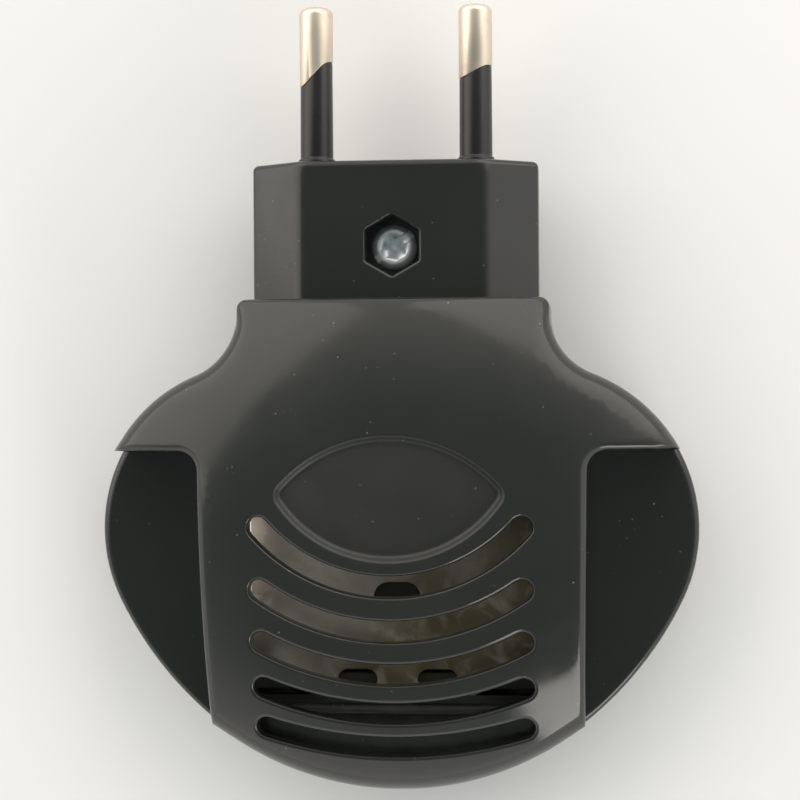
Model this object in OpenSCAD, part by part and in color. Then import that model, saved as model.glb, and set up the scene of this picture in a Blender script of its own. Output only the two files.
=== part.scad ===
// Plug-in heater for pest repellent mats.
// +Y runs along the plug pins to their tips, +Z out of the front, +X across to the right.
// The object lies on its back at z = 0, with x and y measured from the middle of its outer box.

/* [Body] */
// Width across the two side wings
body_w = 71; // [70:0.5:72]
// Length from the tips of the pins to the bottom edge
overall_l = 93; // [93:0.5:94]
// Height of the plane where the rear housing ends, which is also the axis of the pins
parting_z = 9.5; // [9.5:0.1:10]
// Thickness of the plastic walls
wall = 2; // [1.8:0.1:2.2]
// Half width of the neck around the plug
neck_half_w = 18.2; // [18:0.1:18.6]
// Distance from the middle of the outer box up to the lip of the neck
neck_top_y = 11.4; // [11.2:0.1:11.6]

/* [Front cover] */
// Highest point of the front
crown_z = 24; // [24:0.1:25]
// Radius of the front seen from the side
crown_r = 58; // [56:1:62]
// Radius of the front across the width
cross_r = 78; // [76:1:90]
// Half width of the raised middle between the wings
tongue_half_w = 22.4; // [22.2:0.1:22.8]
// Depth of the lens-shaped recess
lens_depth = 0.9; // [0.6:0.1:1.1]
// Width of the curved air slots
slot_w = 2.5; // [2.2:0.1:2.7]

/* [Plug] */
// Distance between the axes of the pins
pin_pitch = 19; // [19:0.1:19.2]
// Diameter of the pins
pin_d = 4; // [3.9:0.05:4.1]
// Length of the pins outside the block
pin_l = 19; // [18.5:0.5:19.5]
// Half width of the plug block
block_half_w = 16.9; // [16.5:0.1:17]
// Thickness of the plug block
block_t = 13.8; // [13.4:0.1:13.8]
// Width across flats of the recesses for the plug screw and its nut
hex_flats = 6.2; // [6:0.1:6.4]

/* [Heater] */
// Length of the heater plate, across the body
plate_l = 35; // [34:0.5:35.5]
// Width of the heater plate
plate_w = 22; // [21.5:0.5:22]
// Height of the top of the heater plate
plate_top_z = 12; // [11.9:0.1:12.1]

/* [Hidden] */

gap = 0.15;                       // assembly gap between two plastic parts
eps = 0.01;                       // overrun of a cut past a face
deck_z = parting_z + 1;           // top of the deck in the wings
deck_t = 1.1;                     // thickness of the deck

// Outline of the body: neck, hollow shoulder fillet, side arc, flank arc and bottom arc
bottom_y = -overall_l / 2;
corner_r = 1.2;
neck_r = 7.6;
side_r = 19.5;
bottom_r = 34.5;
flank_turn = 26;                  // angle below the widest point where the side arc ends
side_c = [body_w / 2 - side_r, bottom_y + 30.9];
neck_c = [
  neck_half_w + neck_r,
  side_c.y + sqrt(pow(side_r + neck_r, 2) - pow(neck_half_w + neck_r - side_c.x, 2))
];
shoulder_turn = atan2(neck_c.y - side_c.y, neck_c.x - side_c.x);
bottom_c = [0, bottom_y + bottom_r];
flank_dir = [cos(flank_turn), -sin(flank_turn)];
flank_start = side_c + side_r * flank_dir;
flank_gap = flank_start - bottom_c;
flank_r = (flank_gap * flank_gap - bottom_r * bottom_r) / (2 * (flank_gap * flank_dir - bottom_r));
flank_c = flank_start - flank_r * flank_dir;
flank_end = atan2(bottom_c.y - flank_c.y, bottom_c.x - flank_c.x);

crown_y = -11.5;                  // where the front is highest

// Cut-outs of the wings
wing_top_y = -6.2;
wing_corner_r = 2.3;
tongue_taper = 0.5;               // how much narrower the raised middle is at the bottom

// Curved slots, from the top: height of the middle of each, and how far its ends rise above it
slot_rows = [[-21.5, 6.7], [-26.7, 4.7], [-31.8, 3.7], [-36.5, 2.9], [-40.7, 2.2]];
slot_half_l = 15;

// Lens-shaped recess
lens_half_l = 13.2;
lens_y = -11;
lens_rise = 6.4;
lens_fall = 7.5;

// Plug block
block_top_y = overall_l / 2 - pin_l;
block_y = 8;                      // where the block starts, inside the neck
block_half_t = block_t / 2;
block_front_half_w = 10.8;
block_side_half_t = 2.2;
pocket_top_y = block_top_y - 2.5;
plug_screw_y = 17.6;
hex_depth = 4.8;
head_d = 5.5;
thread_r = 1.5;

// Pins
pin_r = pin_d / 2;
shank_r = 1.6;
tail_r = 1;
sleeve_r = pin_r - 0.08;          // at its upper end; it widens to the pin's radius at the block
sleeve_l = 10.9;                  // from the block to the middle of the slanted edge
sleeve_seat = 2;                  // how deep a sleeve sits in the block
collar_r = 2.2;
collar_l = 0.85;
collar_seat = 0.8;                // how deep its collar is sunk into the block
flange_y = pocket_top_y - 1.4;
tail_y = 14;
tail_end_y = 7.5;
rib_rows = [flange_y - 2.2, tail_y];

// Heater stack
heater_y = -24.2;
plate_t = 0.6;
holder_half = [17.2, plate_w / 2 - plate_t - 0.05];
holder_z = 3.4;
pocket_half = [15, 8.3];
mica_half = [14.6, 8];
electrode_half = [13.4, 6.6];
pocket_z = 5.2;
mica_t = 0.2;
electrode_t = 0.3;
stone_t = 2.5;
stack_top = plate_top_z - plate_t;
electrode_upper_z = stack_top - mica_t - electrode_t;
stone_z = electrode_upper_z - stone_t;
electrode_lower_z = stone_z - electrode_t;
mica_lower_z = electrode_lower_z - mica_t;
tab_x = 8;
tab_w = 4;
tab_end_y = -10.6;
ear_x = 20.4;
ear_z = 5;

// Back of the rear housing
dome_r = 106;
dome_flat_r = 25;

// Recess of the rating plate
label_half = [11, 6];
label_y = -2;
label_depth = 0.5;

// Housing screws and the posts they pass through
post_at = [19.5, -0.5];
post_r = 3.6;
screw_seat_z = 3.2;
screw_top_z = 16.5;
screw_r = 1.4;

// Left lead, from its pin ferrule to its tab ferrule; the right lead mirrors it
lead_r = 0.9;
lead_route = [
  [-9.5, 5, 9.5], [-9.5, 3.6, 9.4], [-9.6, 2.4, 8.8], [-9.8, 1.4, 7.8], [-9.9, 0.6, 6.6],
  [-9.8, -0.6, 5.6], [-9.4, -2.2, 5.2], [-8.8, -4, 5.6], [-8.2, -5.4, 6.6], [-8, -6.6, 7.6],
  [-8, -7.6, 8]
];

function arc(c, r, from, to, steps) =
  [for (i = [0 : steps]) let (turn = from + (to - from) * i / steps) c + r * [cos(turn), sin(turn)]];

// An arc without its first point, to follow another one
function next_arc(c, r, from, to, steps) =
  let (points = arc(c, r, from, to, steps))
  [for (i = [1 : steps]) points[i]];

function flipped(points) = [for (i = [len(points) - 1 : -1 : 0]) [-points[i].x, points[i].y]];

// Right half of the outline, moved inwards by inset
function half_outline(inset) =
  let (corner = max(0.1, corner_r - inset))
  concat(
    arc([neck_half_w - inset - corner, neck_top_y - inset - corner], corner, 90, 0, 4),
    arc(neck_c, neck_r + inset, 180, 180 + shoulder_turn, 12),
    next_arc(side_c, side_r - inset, shoulder_turn, -flank_turn, 24),
    next_arc(flank_c, flank_r - inset, -flank_turn, flank_end, 8),
    next_arc(bottom_c, bottom_r - inset, flank_end, -90, 9)
  );

function outline(inset) =
  let (half = half_outline(inset))
  concat(half, flipped([for (i = [0 : len(half) - 2]) half[i]]));

module plan(inset) {
  polygon(outline(inset));
}

// Both wing cut-outs, grown outwards by grow
module wing_plan(grow) {
  x_top = tongue_half_w - grow;
  x_low = x_top - tongue_taper;
  y_top = wing_top_y + grow;
  r = wing_corner_r + grow;
  for (side = [0, 1])
    mirror([side, 0])
      polygon(concat(
        arc([x_top + r, y_top - r], r, 90, 180, 6),
        [[x_low, bottom_y], [x_low, bottom_y - 5], [body_w, bottom_y - 5], [body_w, y_top]]
      ));
}

module slab(z_low, z_high) {
  translate([0, 0, z_low])
    linear_extrude(z_high - z_low)
      children();
}

// An XZ outline, extruded from y_low to y_high
module along_y(y_low, y_high) {
  translate([0, y_high, 0])
    rotate([90, 0, 0])
      linear_extrude(y_high - y_low)
        children();
}

module box(low, high) {
  translate(low)
    cube(high - low);
}

// Solid under the curved front, its surface moved inwards by inset
module crown(inset) {
  translate([0, crown_y, crown_z - crown_r])
    rotate([0, 90, 0])
      rotate_extrude($fn = 180)
        intersection() {
          translate([crown_r - cross_r, 0])
            circle(r = cross_r - inset, $fn = 240);
          translate([0, -body_w / 2 - 5])
            square([crown_r + 5, body_w + 10]);
        }
}

// One curved slot: an arc that sags in the middle, with round ends
module slot_plan(row) {
  sag = row[1];
  r = (slot_half_l * slot_half_l + sag * sag) / (2 * sag);
  translate([0, row[0] + r]) {
    intersection() {
      difference() {
        circle(r = r + slot_w / 2, $fn = 120);
        circle(r = r - slot_w / 2, $fn = 120);
      }
      polygon([[0, 0], [-2 * slot_half_l, -2 * (r - sag)], [2 * slot_half_l, -2 * (r - sag)]]);
    }
    for (side = [-1, 1])
      translate([side * slot_half_l, sag - r])
        circle(d = slot_w, $fn = 32);
  }
}

function cap_r(half_l, rise) = (half_l * half_l + rise * rise) / (2 * rise);

// Lens: the overlap of two circles that meet at its tips
module lens_plan() {
  r_up = cap_r(lens_half_l, lens_rise);
  r_down = cap_r(lens_half_l, lens_fall);
  intersection() {
    translate([0, lens_y + lens_rise - r_up])
      circle(r = r_up, $fn = 120);
    translate([0, lens_y - lens_fall + r_down])
      circle(r = r_down, $fn = 120);
  }
}

// Section of the plug block about its own axis, moved inwards by inset
module block_section(inset) {
  w = block_half_w - inset;
  t = block_half_t - inset;
  front = block_front_half_w - inset * 0.35;
  side = block_side_half_t - inset * 0.35;
  polygon([
    [w, side], [front, t], [-front, t], [-w, side],
    [-w, -side], [-front, -t], [front, -t], [w, -side]
  ]);
}

module upper_half() {
  intersection() {
    children();
    box([-body_w, -overall_l, 0], [body_w, overall_l, block_t]);
  }
}

// Places a block half: the front one as drawn, the rear one turned over
module in_block(turned) {
  translate([0, 0, parting_z])
    mirror([0, 0, turned ? 1 : 0])
      children();
}

module block_half_body() {
  upper_half()
    along_y(block_y, block_top_y)
      block_section(0);
}

module block_half_pocket() {
  along_y(block_y - 4, pocket_top_y)
    block_section(wall);
}

// Ribs that hold the pins, and the boss around the plug screw
module block_half_ribs() {
  upper_half() {
    for (y = rib_rows)
      along_y(y, y + 2)
        block_section(wall - 0.1);
    translate([0, plug_screw_y, 0])
      cylinder(r = 5.2, h = block_half_t - wall + 0.1, $fn = 48);
  }
}

module block_half_cuts() {
  for (side = [-1, 1])
    translate([side * pin_pitch / 2, block_top_y + eps, 0])
      rotate([90, 0, 0]) {
        cylinder(r = pin_r + 0.05, h = block_top_y - block_y, $fn = 48);
        cylinder(r = collar_r + 0.05, h = collar_seat + 0.05, $fn = 48);
      }
  translate([0, plug_screw_y, 0]) {
    translate([0, 0, -eps])
      cylinder(r = thread_r + 0.1, h = block_half_t, $fn = 32);
    translate([0, 0, block_half_t - hex_depth])
      rotate(30)
        cylinder(d = hex_flats / cos(30), h = hex_depth + eps, $fn = 6);
  }
}

module front_cover() {
  color([0.235, 0.24, 0.225])
    difference() {
      union() {
        difference() {
          intersection() {
            slab(parting_z, crown_z + 1)
              difference() {
                plan(0);
                wing_plan(0);
              }
            crown(0);
          }
          cover_hollow();
        }
        cover_posts();
        cover_hook();
      }
      slab(0, deck_z)
        difference() {
          plan(wall);
          for (side = [-1, 1])
            translate([side * post_at.x, post_at.y])
              circle(r = post_r - gap - 1, $fn = 32);
          translate([-4, bottom_y])
            square([8, wall + 1.4]);
        }
      along_y(block_y - 0.6, neck_top_y + 1)
        translate([0, parting_z])
          block_section(-gap);
      for (row = slot_rows)
        slab(parting_z, crown_z + 1)
          slot_plan(row);
      difference() {
        slab(parting_z, crown_z + 1)
          lens_plan();
        crown(lens_depth);
      }
      mat_windows();
      for (side = [-1, 1])
        translate([side * post_at.x, post_at.y, 0])
          cylinder(r = screw_r + 0.02, h = screw_top_z + 0.5, $fn = 32);
    }
}

module cover_hollow() {
  difference() {
    intersection() {
      slab(0, crown_z + 1)
        difference() {
          plan(wall);
          wing_plan(wall);
        }
      crown(wall);
    }
    box(
      [-body_w, block_y - 1.5, parting_z + block_half_t + 0.25],
      [body_w, neck_top_y + 1, crown_z + 1]
    );
  }
}

// Openings in both side walls of the raised middle, where the mat slides through
module mat_windows() {
  intersection() {
    box(
      [-tongue_half_w - 1, heater_y - plate_w / 2 - 1, deck_z],
      [tongue_half_w + 1, heater_y + plate_w / 2 + 1, crown_z]
    );
    crown(wall + 0.6);
  }
}

module cover_posts() {
  intersection() {
    for (side = [-1, 1])
      translate([side * post_at.x, post_at.y, deck_z - deck_t])
        cylinder(r = post_r - gap - 1, h = crown_z, $fn = 32);
    crown(wall / 2);
  }
}

// Snap hook at the bottom edge
module cover_hook() {
  inner_y = bottom_y + wall;
  box([-3.8, inner_y - 0.3, 5], [3.8, inner_y + 1.2, parting_z + 4]);
  box([-3.8, inner_y - 1, 5], [3.8, inner_y + 0.2, 6.4]);
}

module deck_plan() {
  difference() {
    union() {
      plan(wall + gap);
      intersection() {
        plan(0);
        wing_plan(-gap);
      }
    }
    translate([-4.2, bottom_y])
      square([8.4, wall + 1.5]);
    translate([-plate_l / 2 - gap, heater_y - plate_w / 2 - gap])
      square([plate_l + 2 * gap, plate_w + 2 * gap]);
    translate([-13, -1.5])
      square([26, block_y]);
    for (side = [-1, 1])
      translate([side * post_at.x, post_at.y])
        circle(r = post_r - 1, $fn = 32);
  }
}

module middle_frame() {
  color([0.12, 0.125, 0.115])
    difference() {
      union() {
        slab(deck_z - deck_t + 0.1, deck_z)
          deck_plan();
        frame_skirt();
        mat_rails();
        for (side = [-1, 1])
          translate([side * ear_x, heater_y, ear_z + 2])
            cylinder(r = 2.6, h = deck_z - ear_z - 2.5, $fn = 32);
        difference() {
          in_block(false)
            block_half_body();
          in_block(false)
            block_half_pocket();
        }
        in_block(false)
          block_half_ribs();
      }
      in_block(false)
        block_half_cuts();
      for (side = [-1, 1])
        translate([side * ear_x, heater_y, 0])
          cylinder(r = 1.12, h = deck_z - 0.5, $fn = 24);
      box([-13, -2, parting_z - 1], [13, block_y + 2, parting_z + 3]);
    }
}

// Rim under the deck that centres it in the rear housing
module frame_skirt() {
  slab(parting_z - 1.2, parting_z + 0.1)
    difference() {
      plan(wall + gap);
      plan(wall + gap + 1);
      translate([-14, -2])
        square([28, 20]);
      translate([-4.6, bottom_y])
        square([9.2, 6]);
      for (side = [-1, 1])
        translate([side * post_at.x, post_at.y])
          circle(r = post_r + gap, $fn = 40);
    }
}

// Low rails that guide the mat
module mat_rails() {
  for (side = [-1, 1]) {
    y = heater_y + side * (plate_w / 2 + 1.6);
    box([-plate_l / 2, y - 0.5, deck_z - 0.2], [plate_l / 2, y + 0.5, plate_top_z + 0.6]);
  }
}

// Body outline over the back, flat in its middle and domed towards the edge, moved inwards by inset
module housing_form(inset, top_z) {
  rise = (dome_flat_r * dome_flat_r) / (2 * dome_r);
  intersection() {
    slab(inset, top_z)
      plan(inset);
    translate([0, side_c.y, dome_r - rise])
      sphere(r = dome_r - inset, $fn = 240);
  }
}

module rear_housing() {
  color([0.11, 0.115, 0.105])
    difference() {
      union() {
        difference() {
          union() {
            housing_form(0, parting_z);
            in_block(true)
              block_half_body();
          }
          housing_form(wall, parting_z + 1);
          in_block(true)
            block_half_pocket();
        }
        in_block(true)
          block_half_ribs();
        for (side = [-1, 1])
          translate([side * post_at.x, post_at.y, wall / 2])
            cylinder(r = post_r, h = deck_z - deck_t - wall / 2, $fn = 40);
      }
      in_block(true)
        block_half_cuts();
      box([-13, 4, parting_z - 4.9], [13, block_y + 4, parting_z + 1]);
      for (side = [-1, 1])
        translate([side * post_at.x, post_at.y, -eps]) {
          cylinder(r = 2.9, h = screw_seat_z + eps, $fn = 40);
          cylinder(r = screw_r + 0.2, h = parting_z, $fn = 32);
        }
      rear_vents();
      box(
        [-label_half.x - 0.2, label_y - label_half.y - 0.2, -eps],
        [label_half.x + 0.2, label_y + label_half.y + 0.2, label_depth]
      );
      box([-4, bottom_y + wall - 1.2, 4.8], [4, bottom_y + wall + 0.5, 6.6]);
      box([-4, bottom_y + wall - 0.45, 4.8], [4, bottom_y + wall + 0.5, parting_z + 1]);
    }
}

// Air inlets through the back, under the heater
module rear_vents() {
  for (i = [-3 : 3])
    vent_slot(i * 5);
}

module vent_slot(x) {
  half_l = 7;
  y = heater_y;
  slab(-eps, wall + eps)
    translate([x, y]) {
      square([1.8, 2 * half_l], center = true);
      for (end = [-1, 1])
        translate([0, end * half_l])
          circle(d = 1.8, $fn = 24);
    }
}

module rating_plate() {
  color([0.62, 0.62, 0.6])
    box([-label_half.x, label_y - label_half.y, 0.1], [label_half.x, label_y + label_half.y, label_depth]);
}

// Half space above the slanted edge of a sleeve; rise is its climb from left to right
module above_slant(x, rise) {
  translate([x, block_top_y + sleeve_l, 0])
    rotate(atan(rise / pin_d))
      box([-12, 0, -20], [12, 40, 40]);
}

module pin_rod(r, y_low, y_high) {
  translate([0, y_high, parting_z])
    rotate([90, 0, 0])
      cylinder(r = r, h = y_high - y_low, $fn = 64);
}

module pin(side, rise) {
  x = side * pin_pitch / 2;
  tip_y = overall_l / 2;
  color([0.78, 0.74, 0.68]) {
    intersection() {
      translate([x, 0, 0])
        pin_tip(tip_y);
      above_slant(x, rise);
    }
    translate([x, 0, 0]) {
      pin_rod(shank_r, block_top_y - sleeve_seat, tip_y - 3);
      pin_rod(pin_r, tail_y, block_top_y - sleeve_seat);
      pin_rod(3.1, flange_y, flange_y + 1.2);
      pin_rod(tail_r, tail_end_y, tail_y + 0.5);
    }
  }
}

// Full-width metal of a pin with its chamfered, slightly domed tip
module pin_tip(tip_y) {
  chamfer = 0.5;
  translate([0, tip_y, parting_z])
    rotate([90, 0, 0])
      rotate_extrude($fn = 64)
        polygon([
          [0, 0], [0.7, 0.05], [pin_r - chamfer, 0.2], [pin_r, 0.2 + chamfer], [pin_r, 14], [0, 14]
        ]);
}

// Insulating sleeve, slightly tapered, with a collar at the block
module sleeve(side, rise) {
  x = side * pin_pitch / 2;
  bore_y = block_top_y - sleeve_seat;
  sleeve_end_y = overall_l / 2 - 2;
  color([0.07, 0.07, 0.07])
    difference() {
      translate([x, 0, 0])
        difference() {
          union() {
            translate([0, sleeve_end_y, parting_z])
              rotate([90, 0, 0])
                cylinder(r1 = sleeve_r, r2 = pin_r, h = sleeve_end_y - bore_y, $fn = 64);
            pin_rod(collar_r, block_top_y - collar_seat, block_top_y + collar_l);
          }
          pin_rod(shank_r, bore_y - eps, overall_l / 2);
        }
      above_slant(x, rise);
    }
}

module plug_screw() {
  seat_z = parting_z + block_half_t - hex_depth;
  head_h = 1.9;
  color([0.72, 0.76, 0.8])
    translate([0, plug_screw_y, 0])
      difference() {
        union() {
          translate([0, 0, seat_z - 7])
            cylinder(r = thread_r, h = 7 + eps, $fn = 32);
          intersection() {
            translate([0, 0, seat_z])
              cylinder(d = head_d, h = head_h, $fn = 48);
            translate([0, 0, seat_z + head_h - 4.2])
              sphere(r = 4.2, $fn = 64);
          }
        }
        rotate(36) {
          box([-3, -0.4, seat_z + 1.1], [3, 0.4, seat_z + 3]);
          box([-0.35, -1.5, seat_z + 0.7], [0.35, 1.5, seat_z + 3]);
          box([-1.5, -0.35, seat_z + 0.7], [1.5, 0.35, seat_z + 3]);
        }
      }
}

module plug_nut() {
  top_z = parting_z - block_half_t + hex_depth;
  color([0.72, 0.76, 0.8])
    translate([0, plug_screw_y, top_z - 2.4])
      difference() {
        rotate(30)
          cylinder(d = 5.5 / cos(30), h = 2.4, $fn = 6);
        translate([0, 0, -eps])
          cylinder(r = thread_r, h = 3, $fn = 32);
      }
}

module cross_screw(seat_z, tip_z, head_r, shank) {
  difference() {
    union() {
      translate([0, 0, seat_z - 1.6])
        cylinder(r = head_r, h = 1.6, $fn = 40);
      translate([0, 0, seat_z - eps])
        cylinder(r = shank, h = tip_z - seat_z, $fn = 32);
    }
    for (turn = [20, 110])
      rotate(turn)
        box([-1.5, -0.35, seat_z - 2], [1.5, 0.35, seat_z - 0.6]);
  }
}

module housing_screws() {
  color([0.7, 0.72, 0.75])
    for (side = [-1, 1])
      translate([side * post_at.x, post_at.y, 0])
        cross_screw(screw_seat_z, screw_top_z, 2.6, screw_r);
}

module holder_screws() {
  color([0.7, 0.72, 0.75])
    for (side = [-1, 1])
      translate([side * ear_x, heater_y, 0])
        cross_screw(ear_z, deck_z - 0.8, 2.1, 1.1);
}

module oval_plan(w, h) {
  for (side = [-1, 1])
    translate([side * (w - h) / 2, 0])
      circle(d = h, $fn = 32);
  square([w - h, h], center = true);
}

// Heater plate, with its two lower corners trimmed
module plate_plan() {
  x = plate_l / 2;
  y = plate_w / 2;
  polygon([[-x, y], [x, y], [x, -y + 3.6], [x - 8.5, -y], [-x + 8.5, -y], [-x, -y + 3.6]]);
}

module heater_plate() {
  flange_h = 2.6;
  color([0.62, 0.55, 0.46])
    translate([0, heater_y, 0]) {
      slab(stack_top, plate_top_z)
        difference() {
          plate_plan();
          translate([0, 0.5])
            oval_plan(5.6, 3.6);
          for (side = [-1, 1])
            translate([side * 4.75, -9.15])
              oval_plan(4.7, 2.4);
        }
      for (side = [-1, 1]) {
        x = side > 0 ? plate_l / 2 : plate_l / 2 - 8.5;
        y = side * (plate_w / 2 - plate_t / 2);
        box([-x, y - plate_t / 2, plate_top_z - flange_h], [x, y + plate_t / 2, stack_top]);
      }
    }
}

module sheet(half, z, t) {
  box([-half.x, heater_y - half.y, z], [half.x, heater_y + half.y, z + t]);
}

module mica_upper() {
  color([0.2, 0.17, 0.12])
    sheet(mica_half, stack_top - mica_t, mica_t);
}

module mica_lower() {
  color([0.2, 0.17, 0.12])
    sheet(mica_half, mica_lower_z, mica_t);
}

// Flat strip of an electrode's tab, centred on x, from y_low to y_high and z_low to z_high
module tab_strip(x, y_low, y_high, z_low, z_high) {
  box([x - tab_w / 2, y_low, z_low], [x + tab_w / 2, y_high, z_high]);
}

// Upper electrode; its tab steps down beside the stack and leaves under the plate's flange
module electrode_upper() {
  leg_y = heater_y + 7.7;
  leaf_y = heater_y + electrode_half.y - 0.1;
  color([0.6, 0.61, 0.62]) {
    sheet(electrode_half, electrode_upper_z, electrode_t);
    tab_strip(-tab_x, leaf_y, leg_y, electrode_upper_z, electrode_upper_z + electrode_t);
    tab_strip(-tab_x, leg_y - electrode_t, leg_y, electrode_lower_z, electrode_upper_z + electrode_t);
    tab_strip(-tab_x, leg_y - electrode_t, tab_end_y, electrode_lower_z, electrode_lower_z + electrode_t);
  }
}

module electrode_lower() {
  leaf_y = heater_y + electrode_half.y - 0.1;
  color([0.6, 0.61, 0.62]) {
    sheet(electrode_half, electrode_lower_z, electrode_t);
    tab_strip(tab_x, leaf_y, tab_end_y, electrode_lower_z, electrode_lower_z + electrode_t);
  }
}

module heating_stones() {
  color([0.36, 0.36, 0.38])
    for (side = [-1, 1])
      box([side * 6.8 - 5.5, heater_y - 6, stone_z], [side * 6.8 + 5.5, heater_y + 6, electrode_upper_z]);
}

// Bowed leaf spring, wide open on the floor of the holder
module pressure_spring() {
  leaf_t = 0.4;
  half_l = 12;
  rise = mica_lower_z - pocket_z - leaf_t;
  r = cap_r(half_l, rise);
  color([0.66, 0.67, 0.69])
    intersection() {
      along_y(heater_y - 5, heater_y + 5)
        translate([0, mica_lower_z - leaf_t - r])
          difference() {
            circle(r = r + leaf_t, $fn = 240);
            circle(r = r, $fn = 240);
          }
      box([-half_l, heater_y - 6, pocket_z], [half_l, heater_y + 6, mica_lower_z]);
    }
}

module heater_holder() {
  color([0.17, 0.16, 0.15])
    difference() {
      union() {
        sheet(holder_half, holder_z, stack_top - holder_z);
        slab(ear_z, ear_z + 2)
          translate([0, heater_y]) {
            square([2 * ear_x, 5.2], center = true);
            for (side = [-1, 1])
              translate([side * ear_x, 0])
                circle(r = 2.6, $fn = 32);
          }
      }
      sheet(pocket_half, pocket_z, plate_top_z);
      box(
        [-tab_x - 2.2, heater_y + pocket_half.y - eps, electrode_lower_z - 0.2],
        [-tab_x + 2.2, heater_y + 12, plate_top_z]
      );
      box(
        [tab_x - 2.2, heater_y + pocket_half.y - eps, electrode_lower_z - 0.2],
        [tab_x + 2.2, heater_y + 12, electrode_lower_z + 0.6]
      );
      for (side = [-1, 1])
        translate([side * ear_x, heater_y, 0])
          cylinder(r = 1.3, h = plate_top_z, $fn = 24);
    }
}

function unit(v) = v / norm(v);

// Round tube along a route, with flat ends square to it
module tube(route, r) {
  sides = 8;
  last = len(route) - 1;
  rings = [
    for (i = [0 : last])
      let (t = unit(route[min(i + 1, last)] - route[max(i - 1, 0)]))
      let (u = unit(cross(t, [1, 0, 0])), v = cross(t, u))
      for (k = [0 : sides - 1])
        route[i] + r * (cos(k * 360 / sides) * u + sin(k * 360 / sides) * v)
  ];
  walls = [
    for (i = [0 : last - 1]) for (k = [0 : sides - 1])
      [i * sides + k, i * sides + (k + 1) % sides, (i + 1) * sides + (k + 1) % sides, (i + 1) * sides + k]
  ];
  start = [for (k = [sides - 1 : -1 : 0]) k];
  end = [for (k = [0 : sides - 1]) last * sides + k];
  polyhedron(rings, concat(walls, [start, end]));
}

module lead_left() {
  color([0.75, 0.73, 0.66])
    tube(lead_route, lead_r);
}

module lead_right() {
  color([0.75, 0.73, 0.66])
    tube([for (p = lead_route) [-p.x, p.y, p.z]], lead_r);
}

module pin_ferrule(side) {
  color([0.74, 0.72, 0.68])
    translate([side * pin_pitch / 2, 0, 0])
      difference() {
        pin_rod(1.5, lead_route[0].y, tail_end_y + 3);
        pin_rod(tail_r, tail_end_y, tail_end_y + 4);
      }
}

// Crimps that join the leads to the two tabs
module tab_ferrules() {
  lead_end = lead_route[len(lead_route) - 1];
  half_w = tab_w / 2 + 0.5;
  color([0.74, 0.72, 0.68])
    for (side = [-1, 1])
      difference() {
        box(
          [side * tab_x - half_w, tab_end_y - 1.5, lead_end.z - 1],
          [side * tab_x + half_w, lead_end.y - 0.02, lead_end.z + 1]
        );
        tab_strip(
          side * tab_x,
          tab_end_y - 2, tab_end_y,
          electrode_lower_z, electrode_lower_z + electrode_t
        );
      }
}

front_cover();
middle_frame();
rear_housing();
rating_plate();
pin(-1, 2.9);  // pin_left
pin(1, 1.5);  // pin_right
sleeve(-1, 2.9);  // sleeve_left
sleeve(1, 1.5);  // sleeve_right
plug_screw();
plug_nut();
housing_screws();
heater_plate();
mica_upper();
electrode_upper();
heating_stones();
electrode_lower();
mica_lower();
pressure_spring();
heater_holder();
holder_screws();
lead_left();
lead_right();
pin_ferrule(-1);  // ferrule_left
pin_ferrule(1);  // ferrule_right
tab_ferrules();
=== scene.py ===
"""Plug-in heater for repellent mats, piece by piece in the order in which it is put together."""

from math import atan2, cos, degrees, hypot, pi, radians, sin, sqrt

import bmesh
import bpy
import numpy as np
from mathutils import Matrix, Vector
from mathutils.geometry import delaunay_2d_cdt


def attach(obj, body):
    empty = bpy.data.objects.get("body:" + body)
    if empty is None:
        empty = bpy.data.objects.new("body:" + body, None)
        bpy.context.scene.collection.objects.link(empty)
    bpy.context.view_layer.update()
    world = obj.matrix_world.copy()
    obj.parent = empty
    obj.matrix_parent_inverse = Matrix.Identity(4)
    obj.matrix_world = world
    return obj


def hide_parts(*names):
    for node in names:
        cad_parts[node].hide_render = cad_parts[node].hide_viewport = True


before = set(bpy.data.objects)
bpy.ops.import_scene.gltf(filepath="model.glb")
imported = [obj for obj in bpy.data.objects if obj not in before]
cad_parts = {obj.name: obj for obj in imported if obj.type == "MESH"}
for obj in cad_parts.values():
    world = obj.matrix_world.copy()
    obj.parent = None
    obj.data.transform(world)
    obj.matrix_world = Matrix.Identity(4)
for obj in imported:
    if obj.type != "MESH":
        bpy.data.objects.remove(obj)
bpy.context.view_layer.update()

# ---------------------------------------------------------------------------------------------
# Rear housing. A moulded tub of dark ABS with the rear half of the plug block in one piece.
# Its back is flat in the middle and domed towards the edge, with seven air slots under the
# heater and two sunk seats for the screws that hold the three shells together.
# ---------------------------------------------------------------------------------------------

MM = 0.001
PARTING_Z = 9.5
NECK_HALF_W = 18.2
NECK_TOP_Y = 11.4
CORNER_R = 1.2
NECK_R = 7.6
NECK_C = (25.8, 9.666)
SIDE_R = 19.5
SIDE_C = (16.0, -15.6)
FLANK_TURN = 26.0
FLANK_R = 42.42
FLANK_C = (-4.60, -5.55)
BOTTOM_R = 34.5
BOTTOM_C = (0.0, -12.0)
WALL = 2.0
SHOULDER_TURN = degrees(atan2(NECK_C[1] - SIDE_C[1], NECK_C[0] - SIDE_C[0]))
FLANK_END = degrees(atan2(BOTTOM_C[1] - FLANK_C[1], BOTTOM_C[0] - FLANK_C[0]))
BACK_R = 106.0
BACK_FLAT_R = 25.0
POST_AT = (19.5, -0.5)
POST_R = 3.6
POST_HOLE_R = 1.6
SCREW_SEAT_R = 2.9
SCREW_SEAT_Z = 3.2
HEATER_Y = -24.2
VENT_XS = [-15, -10, -5, 0, 5, 10, 15]
VENT_HALF_L = 7.0
VENT_R = 0.9
VENT_EDGE_R = 0.25
SEAT_EDGE_R = 0.15
LABEL_EDGE_R = 0.12
LABEL_HALF = (11.2, 6.2)
LABEL_Y = -2.0
LABEL_DEPTH = 0.5
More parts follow.
